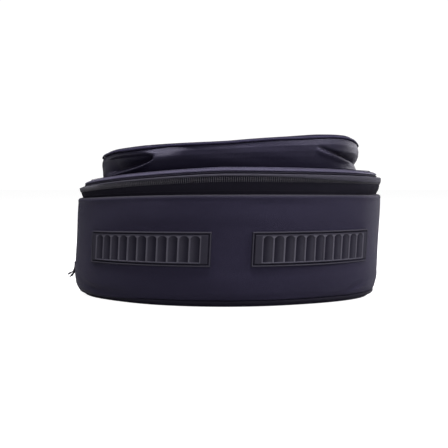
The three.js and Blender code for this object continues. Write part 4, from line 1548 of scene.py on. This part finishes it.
class BAG_OT_pocket(Operator):
    """Soft front pocket: wall with its dents, domed face and covered cord"""

    bl_idname = "guitar_bag.pocket"
    bl_label = "Front pocket"

    def execute(self, context):
        form, tint = scene_form(context)
        cloth = finished(
            "nylon_pocket", woven, tuple(tint.pocket),
            rough=0.40, level=0.20, sheen=0.0, weave=0.00004, ripple=0.0003,
        )
        s = form.pocket_line.stations(POCKET_STATION)
        wall = self.wall(form, s)
        dress(wall, cloth, "pocket_nylon", "pocket_wall")
        width, length, area = self.wall_cut(form, s)
        face = self.face(form, s)
        free = np.zeros(len(face.data.vertices))
        free[len(free) - (len(s) // 2 - 1) * (FACE_ACROSS - 1) :] = 1.0
        plump(face, free, pressure=25.0, cap=0.0010)
        dress(face, cloth, "pocket_nylon", "pocket_panel")
        width, length, area = self.face_cut(form, s)
        # The pocket's cloth painted 2.4 times lighter, so the cord shows a painted highlight along
        # the pocket's edge
        piping = finished("pocket_piping_cloth", wrapped, shade(tint.pocket, 2.4))
        dress(self.cord(form, s), piping, "piping", "pocket_piping")
        return {"FINISHED"}

    def wall_cut(self, form, s):
        """Width, length and area of the strip the wall is cut from."""
        shape = PocketShape(form)
        levels = 24
        rails = np.array([shape.rail(s, up, 0.0) for up in np.linspace(0, 1, levels)])
        tall = np.linalg.norm(np.diff(rails, axis=0), axis=-1).sum(0)
        length = lengths(rails, 1, True)[-1]
        return tall.max(), length, tall.mean() * length

    def face_cut(self, form, s):
        """Width, length and area of the flat cut of the face."""
        x, v, _ = form.pocket_line.at(s, min(column(POCKET_PANEL_EDGE, "d")) * MM)
        area = 0.5 * abs(np.sum(x * np.roll(v, -1) - v * np.roll(x, -1)))
        return np.ptp(x), np.ptp(v), area

    def wall(self, form, s):
        """The pocket's wall, its lining made more coarsely than its face."""
        shape, levels = PocketShape(form), 46
        ups = np.linspace(0, 1, levels)
        outer = [shape.rail(s, up, 0.0) for up in ups]
        inner = [shape.rail(s, up, form.pocket.cloth) for up in ups[::-5]]
        return ring_object("pocket_wall_cloth", np.array(outer + inner))

    def face(self, form, s):
        """The pocket's face with its turned edge, domed and softly uneven."""
        shape, turn, flat = PocketShape(form), 3.4, 9.0
        rises = np.interp(column(POCKET_PANEL_EDGE, "d"), [turn, flat], [0.0, 1.0])
        rises[: len(rises) // 2] = 0.0
        rails = [
            shape.place(s, row["d"] * MM, row["lift"] * MM, rise)
            for row, rise in zip(POCKET_PANEL_EDGE, rises)
        ]

        def filled(rail):
            def inside(right, left, share):
                a, b = rails[rail][right][:, None], rails[rail][left][:, None]
                place = a + (b - a) * share[..., None]
                half = (a[:, 0, 0] - b[:, 0, 0]) / 2
                place[..., 1] = bowed(half, a[:, 0, 1], share, 0.16)[1]
                flat_x = place[..., 0] - form.pocket_lean()
                depth = form.pocket_line.depth(flat_x, place[..., 1] + form.shape.length / 2)
                depth = np.maximum(depth - POCKET_PANEL_EDGE[rail]["d"] * MM, 0)
                rise = 1 - (1 - np.clip(depth / form.pocket.reach, 0, 1)) ** 2
                soft = np.sin(flat_x / MM / 41 + 1) * np.sin(place[..., 1] / MM / 37)
                level = form.rim(place[..., 0])
                ends = (a[..., 2] - form.rim(a[..., 0])) * (1 - share)
                ends = ends + (b[..., 2] - form.rim(b[..., 0])) * share
                place[..., 2] = level + ends + form.pocket.crown * rise
                place[..., 2] += 1.1 * MM * soft * smooth(depth, 0, 0.05)
                return place

            return inside

        under, over = filled(0), filled(-1)
        return panel_object("pocket_face_cloth", np.array(rails), FACE_ACROSS, under, over)

    def cord(self, form, s):
        """The covered cord under the edge of the face."""
        section = circle(form.pocket.cord, POCKET_CORD["d"] * MM, POCKET_CORD["z"] * MM)
        rails = [PocketShape(form).place(s, d, lift) for d, lift in section]
        return ring_object("pocket_edge_cord", np.array(rails))


class BAG_OT_pocket_zip(Operator):
    """Short zip on the pocket's far wall, with its slider"""

    bl_idname = "guitar_bag.pocket_zip"
    bl_label = "Pocket zip"

    def execute(self, context):
        form, tint = scene_form(context)
        tape, teeth, enamel = zip_finishes(tint)
        dress(self.tape(form), tape, "zip_tape", "pocket_zip")
        for name, side in (("pocket_teeth_below", -1), ("pocket_teeth_above", 1)):
            dress(self.teeth(form, name, side), teeth, "zip_teeth")
        dress(self.slider(form), enamel, "slider", "pocket_zip_slider")
        return {"FINISHED"}

    def on_wall(self, form, along, up, out):
        """A place on the far wall: along it from its middle, up as a share of its height."""
        s = form.pocket_line.total / 2 - np.atleast_1d(along)
        return PocketShape(form).rail(s, up, -out)

    def tape(self, form):
        """Both woven tapes as one flat strip on the wall."""
        half, thick, gap = form.pocket.zip_half, 1.0 * MM, 0.4 * MM
        along, ups = np.linspace(-half, half, 81), np.linspace(0.30, 0.75, 13)
        face = [self.on_wall(form, along, up, gap + thick) for up in ups]
        back = [self.on_wall(form, along, up, gap) for up in ups[::-1]]
        return strip_object("pocket_zip_tape", np.array(face + back))

    def teeth(self, form, name, side):
        """One row of teeth, short of both ends of the tape."""
        p, out, line, above_line = form.zip, 1.35 * MM, 0.52, 0.56
        end = form.pocket.zip_half - 4 * MM
        along = np.arange(-end, end, p.pitch)
        here = self.on_wall(form, along, line, out)
        above = self.on_wall(form, along, above_line, out)
        ahead = self.on_wall(form, along - 0.5 * MM, line, out)
        points, quads = tooth(p, side)
        return scatter(name, points, quads, here, square_frames(ahead - here, above - here))

    def slider(self, form):
        """Slider body with a bridge and a short pull."""
        middle = 0.0533

        def place(x, z, gap):
            return tuple(self.on_wall(form, middle + x, z / MM / 100, gap)[0])

        points, quads = blocks(POCKET_SLIDER, place)
        return slider_object("pocket_zip_slider_and_pull", np.array(points), quads, 0.25 * MM)


class BAG_OT_stage(Operator):
    """Pale floor, soft studio light and the camera"""

    bl_idname = "guitar_bag.stage"
    bl_label = "Stage"

    def execute(self, context):
        scene = context.scene
        scene.view_settings.view_transform = "Standard"
        self.floor()
        self.world(scene)
        for row in LIGHTS:
            self.light(scene, row)
        self.camera(scene)
        return {"FINISHED"}

    def floor(self):
        """Wide pale floor, a hair below the bag."""
        reach, below = 9.0, -0.0004
        corners = ((-1, -1), (1, -1), (1, 1), (-1, 1))
        points = np.array([[x * reach, y * reach, below] for x, y in corners])
        obj = build("studio_floor", points, [[0, 1, 2, 3]], points[:, :2])
        m = Finish("pale_floor")
        m.set(Roughness=0.9, Specular_IOR_Level=0.1)
        m.set(Base_Color=(0.30, 0.30, 0.30, 1.0), Emission_Color=(1.0, 1.0, 1.0, 1.0))
        seen = m.add("ShaderNodeLightPath").outputs["Is Camera Ray"]
        m.link(m.range(seen, 0.0, 1.0, 0.05, 0.95), m.shader.inputs["Emission Strength"])
        obj.data.materials.append(m.material)

    def world(self, scene):
        """White surround that adds only a little light."""
        world = bpy.data.worlds.new("studio_surround")
        scene.world = world
        world.use_nodes = True
        tree = world.node_tree
        back = tree.nodes["Background"]
        back.inputs["Color"].default_value = (1.0, 1.0, 1.0, 1.0)
        path = tree.nodes.new("ShaderNodeLightPath")
        level = tree.nodes.new("ShaderNodeMapRange")
        level.inputs["To Min"].default_value = 0.07
        level.inputs["To Max"].default_value = 1.05
        tree.links.new(path.outputs["Is Camera Ray"], level.inputs["Value"])
        tree.links.new(level.outputs["Result"], back.inputs["Strength"])

    def light(self, scene, row):
        """One round soft light."""
        data = bpy.data.lights.new(row["name"], "AREA")
        data.shape = "DISK"
        data.size = row["size"]
        data.energy = row["power"]
        data.color = (0.95, 0.93, 1.0)
        obj = bpy.data.objects.new(row["name"], data)
        obj.location = row["place"]
        aim = Vector(row["aim"]) - Vector(row["place"])
        obj.rotation_euler = aim.to_track_quat("-Z", "Y").to_euler()
        scene.collection.objects.link(obj)

    def camera(self, scene):
        """The photograph's view of the tail end."""
        data = bpy.data.cameras.new("photo_view")
        data.sensor_width = 36.0
        data.lens = CAMERA["focal"] / CAMERA["frame"] * data.sensor_width
        data.clip_end = 60.0
        obj = bpy.data.objects.new("photo_view", data)
        obj.location = CAMERA["place"]
        tilt = math.atan(CAMERA["down"] / CAMERA["focal"])
        obj.rotation_euler = (math.radians(90) - tilt, 0.0, 0.0)
        scene.collection.objects.link(obj)
        scene.camera = obj


class BAG_PT_panel(Panel):
    """Lists the bag's pieces in the order they are made"""

    bl_idname = "BAG_PT_panel"
    bl_label = "Guitar Bag"
    bl_space_type = "VIEW_3D"
    bl_region_type = "UI"
    bl_category = "Guitar Bag"

    def draw(self, context):
        layout = self.layout
        settings = context.scene.guitar_bag
        for name in ("shape", "zip", "pocket", "plates", "colours"):
            box = layout.box()
            box.label(text=name.capitalize())
            group = getattr(settings, name)
            for key in group.__annotations__:
                box.prop(group, key)
        for operator in OPERATORS:
            layout.operator(operator.bl_idname)


OPERATORS = (
    BAG_OT_stage,
    BAG_OT_back,
    BAG_OT_gusset,
    BAG_OT_plates,
    BAG_OT_tab,
    BAG_OT_zip,
    BAG_OT_lid,
    BAG_OT_pocket,
    BAG_OT_pocket_zip,
)
GROUPS = (BagShape, BagZip, BagPocket, BagPlates, BagColours, BagSettings)
CLASSES = (*GROUPS, *OPERATORS, BAG_PT_panel)


def register():
    for item in CLASSES:
        bpy.utils.register_class(item)
    bpy.types.Scene.guitar_bag = PointerProperty(type=BagSettings)


def unregister():
    del bpy.types.Scene.guitar_bag
    for item in reversed(CLASSES):
        bpy.utils.unregister_class(item)


def main():
    register()
    bpy.ops.guitar_bag.stage()
    bpy.ops.guitar_bag.back()
    bpy.ops.guitar_bag.gusset()
    bpy.ops.guitar_bag.plates()
    bpy.ops.guitar_bag.tab()
    bpy.ops.guitar_bag.zip()
    bpy.ops.guitar_bag.lid()
    bpy.ops.guitar_bag.pocket()
    bpy.ops.guitar_bag.pocket_zip()


if __name__ == "__main__":
    main()
